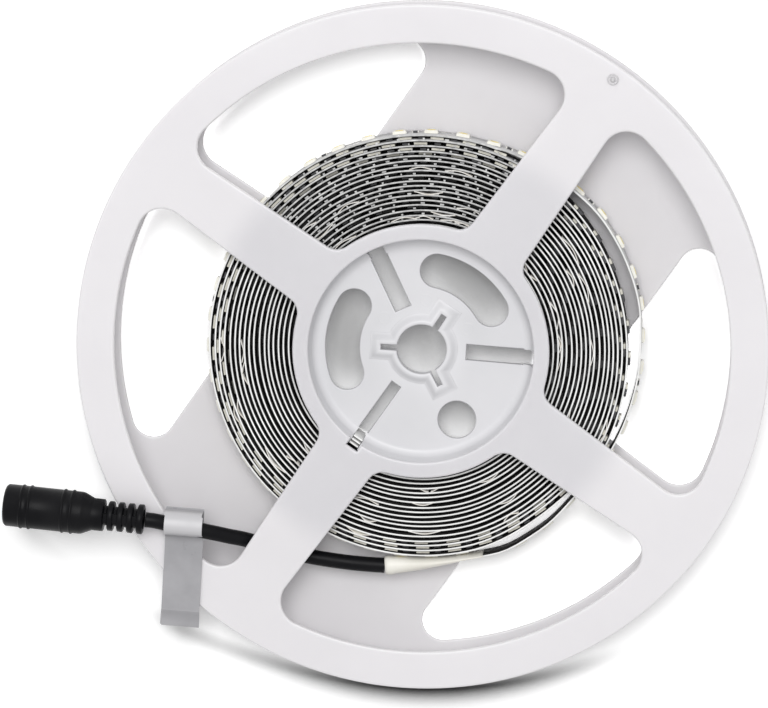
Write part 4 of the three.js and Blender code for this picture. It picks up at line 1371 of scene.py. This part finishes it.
for a in np.radians(range(20, 181, 16)):
    half_width = 2.25 if a < math.pi / 2 else 3.7
    line.append((half_width * math.cos(a), ARCH_CENTRE + ARCH_HEIGHT * math.sin(a)))
line += [(-3.7, under + 0.8), (-2.9, under), (10, under), (22.2, under), (23.2, under), (24.6, joint - 0.5),
         (26, joint - 0.14), (27.4, joint - 0.14)]
centre_line = smooth_line([(a, b, 0) for a, b in line], 4)[:, :2]
forward, sideways = (np.array(polar(1, angle)) for angle in (TAPE_HEADING, TAPE_HEADING + 90))
tape_sections = []
for k, (a, z) in enumerate(centre_line):
    ahead = centre_line[min(k + 1, len(centre_line) - 1)] - centre_line[max(k - 1, 0)]
    ahead /= np.linalg.norm(ahead)
    normal = np.array((-ahead[1], ahead[0])) * TAPE_THICKNESS / 2
    skew = -0.35 if k > len(centre_line) * 0.62 else 0.0
    ring = []
    for side, sign in ((-1, 1), (1, 1), (1, -1), (-1, -1)):
        at = a + normal[0] * sign
        flat = np.array(TAPE_CENTRE) + forward * at + sideways * (side * TAPE_WIDTH / 2 + skew)
        ring.append((flat[0], flat[1], z + normal[1] * sign))
    tape_sections.append(ring[::-1])
tape = mesh_piece("grey_tape", swept(tape_sections, smooth=False), [TAPE])
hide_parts("holding_tape")
print("tape:", len(tape_sections), "sections; the lead is", round(lead_length * 1000, 1), "mm long")

# %% [markdown]
# ## 25. The table
#
# The photo was taken on a white ground that shows pure white, with a soft dark shade just below the lower
# rim. A plain white plane would come out grey, so straight rays see a brighter paper than bounced light
# does. Ambient Occlusion nodes tell how closed in a point is. One drives painted light and shade: inside
# the reel's outline the floor is painted brighter where it is closed in, so that the hub's holes stay at
# one even grey and the floor behind the windows white, and outside it darker where things stand near. The
# other paints a deeper shadow in a band just below the rim. The plane still takes the object's own shadow.

# %% The table and its shade
TABLE_HALF, TABLE_DROP = 3, 0.0002
SHADE_REACH = 0.03
HUB_EDGE, WINDOW_EDGE = (0.028, 0.030), (0.079, 0.083)
BAND_NEAR, BAND_FAR, BAND_CENTRE_Y = (0.159, 0.164), (0.182, 0.188), 0.07
FLOOR_WHITE, tree, shader = finish(
    "floor_white", (0.76, 0.76, 0.76), (0.74, 0.74, 0.74), 0.7, patch=5, grain=50, strength=0.0,
    Specular_IOR_Level=0.1
)


def straight_rays(tree):
    """1 for rays from the camera, off mirrors and through clear things, and 0 for all others."""
    path = add(tree, "ShaderNodeLightPath")
    total = path.outputs["Is Camera Ray"]
    for label in ("Is Glossy Ray", "Is Transmission Ray"):
        both = add(tree, "ShaderNodeMath", operation="ADD", use_clamp=True)
        tree.links.new(total, both.inputs[0])
        tree.links.new(path.outputs[label], both.inputs[1])
        total = both.outputs[0]
    return total


def ring_mask(edge, centre_y=0.0):
    """0 inside the first radius of an edge and 1 outside the second, in metres."""
    return grouped(tree, RADIUS, From=edge[0], To=edge[1], Centre_Y=centre_y).outputs["Mask"]


def floor_openness(samples):
    """Ambient Occlusion of the floor: 1 in the open, less where things stand near."""
    return add(tree, "ShaderNodeAmbientOcclusion", samples=samples, Distance=SHADE_REACH).outputs["AO"]


def shader_mix(factor, first, second):
    """One shader where the factor is 0 and the other where it is 1."""
    mix = add(tree, "ShaderNodeMixShader")
    for socket, source in zip(mix.inputs, (factor, first, second)):
        tree.links.new(source, socket)
    return mix.outputs[0]


# Painted light and shade from the Ambient Occlusion: inside the reel's outline the floor is painted brighter
# where it is closed in, under the hub down to a grey where it is more open, and outside the reel darker where
# things stand near.
openness = floor_openness(24)
closed_tone = ranged(tree, ring_mask(WINDOW_EDGE), 0, 1, 4.2, 0.66, "SMOOTHSTEP")
open_floor = ranged(tree, openness, 0.10, 0.50, closed_tone, 1.2)
hub_floor_tone = ranged(tree, openness, 0.12, 0.40, 1.2, 0.45)
bright = add(tree, "ShaderNodeBsdfDiffuse")
floor_tone = mixed(tree, ring_mask(HUB_EDGE), hub_floor_tone, open_floor)
tree.links.new(floor_tone, bright.inputs["Color"])
# Painted shadow: in a band just below the rim the floor is painted darker where the reel stands near.
contact = add(tree, "ShaderNodeBsdfDiffuse")
painted_shadow_tone = ranged(tree, floor_openness(128), 0.75, 0.90, 0.0, 1.15, "SMOOTHSTEP")
tree.links.new(painted_shadow_tone, contact.inputs["Color"])
band = add(tree, "ShaderNodeMath", operation="SUBTRACT", use_clamp=True)
tree.links.new(ring_mask(BAND_NEAR, BAND_CENTRE_Y), band.inputs[0])
tree.links.new(ring_mask(BAND_FAR, BAND_CENTRE_Y), band.inputs[1])
paper = shader_mix(band.outputs[0], bright.outputs[0], contact.outputs[0])
seen = shader_mix(straight_rays(tree), shader.outputs[0], paper)
tree.links.new(seen, tree.nodes["Material Output"].inputs["Surface"])
corners = [(x * TABLE_HALF, y * TABLE_HALF, -TABLE_DROP) for x, y in ((-1, -1), (1, -1), (1, 1), (-1, 1))]
table_data = bpy.data.meshes.new("table")
table_data.from_pydata(corners, [], [(0, 1, 2, 3)])
table_data.materials.append(FLOOR_WHITE)
table = bpy.data.objects.new("table", table_data)
scene.collection.objects.link(table)
print("table:", len(tree.nodes), "nodes")

# %% [markdown]
# ## 26. The room
#
# The room is an even white, as in a light tent. Straight rays, mirrored rays and rays through glass see
# it as pure white, and surfaces are lit by it at about half that level, so that a colour renders about as
# it is written. A photographed room would bring reflections that the photo doesn't have.

# %% The white room
ROOM_LIGHT, ROOM_SEEN = 0.52, 1.0
world = bpy.data.worlds.new("room")
scene.world = world
world.use_nodes = True
tree = world.node_tree
sky = tree.nodes["Background"]
sky.inputs["Color"].default_value = (1, 1, 1, 1)
level = ranged(tree, straight_rays(tree), 0, 1, ROOM_LIGHT, ROOM_SEEN)
tree.links.new(level, sky.inputs["Strength"])
print("room light level:", ROOM_LIGHT)

# %% [markdown]
# ## 27. The lamp
#
# One wide soft lamp stands above the picture's top edge. It gives the thin highlights along the rim and a
# soft shadow below it. A smaller lamp would draw hard shadows of the socket and the tape, which the photo
# doesn't show.

# %% The key lamp
LAMP_PLACE = Vector((0.03, 0.84, 2.02))
LAMP_SIZE, LAMP_WATTS = 1.3, 32
lamp_data = bpy.data.lights.new("key", "AREA")
lamp_data.shape = "RECTANGLE"
lamp_data.size = LAMP_SIZE
lamp_data.size_y = LAMP_SIZE
lamp_data.energy = LAMP_WATTS
lamp = bpy.data.objects.new("key", lamp_data)
lamp.location = LAMP_PLACE
lamp.rotation_mode = "QUATERNION"
lamp.rotation_quaternion = (-LAMP_PLACE).to_track_quat("-Z", "Y")
scene.collection.objects.link(lamp)
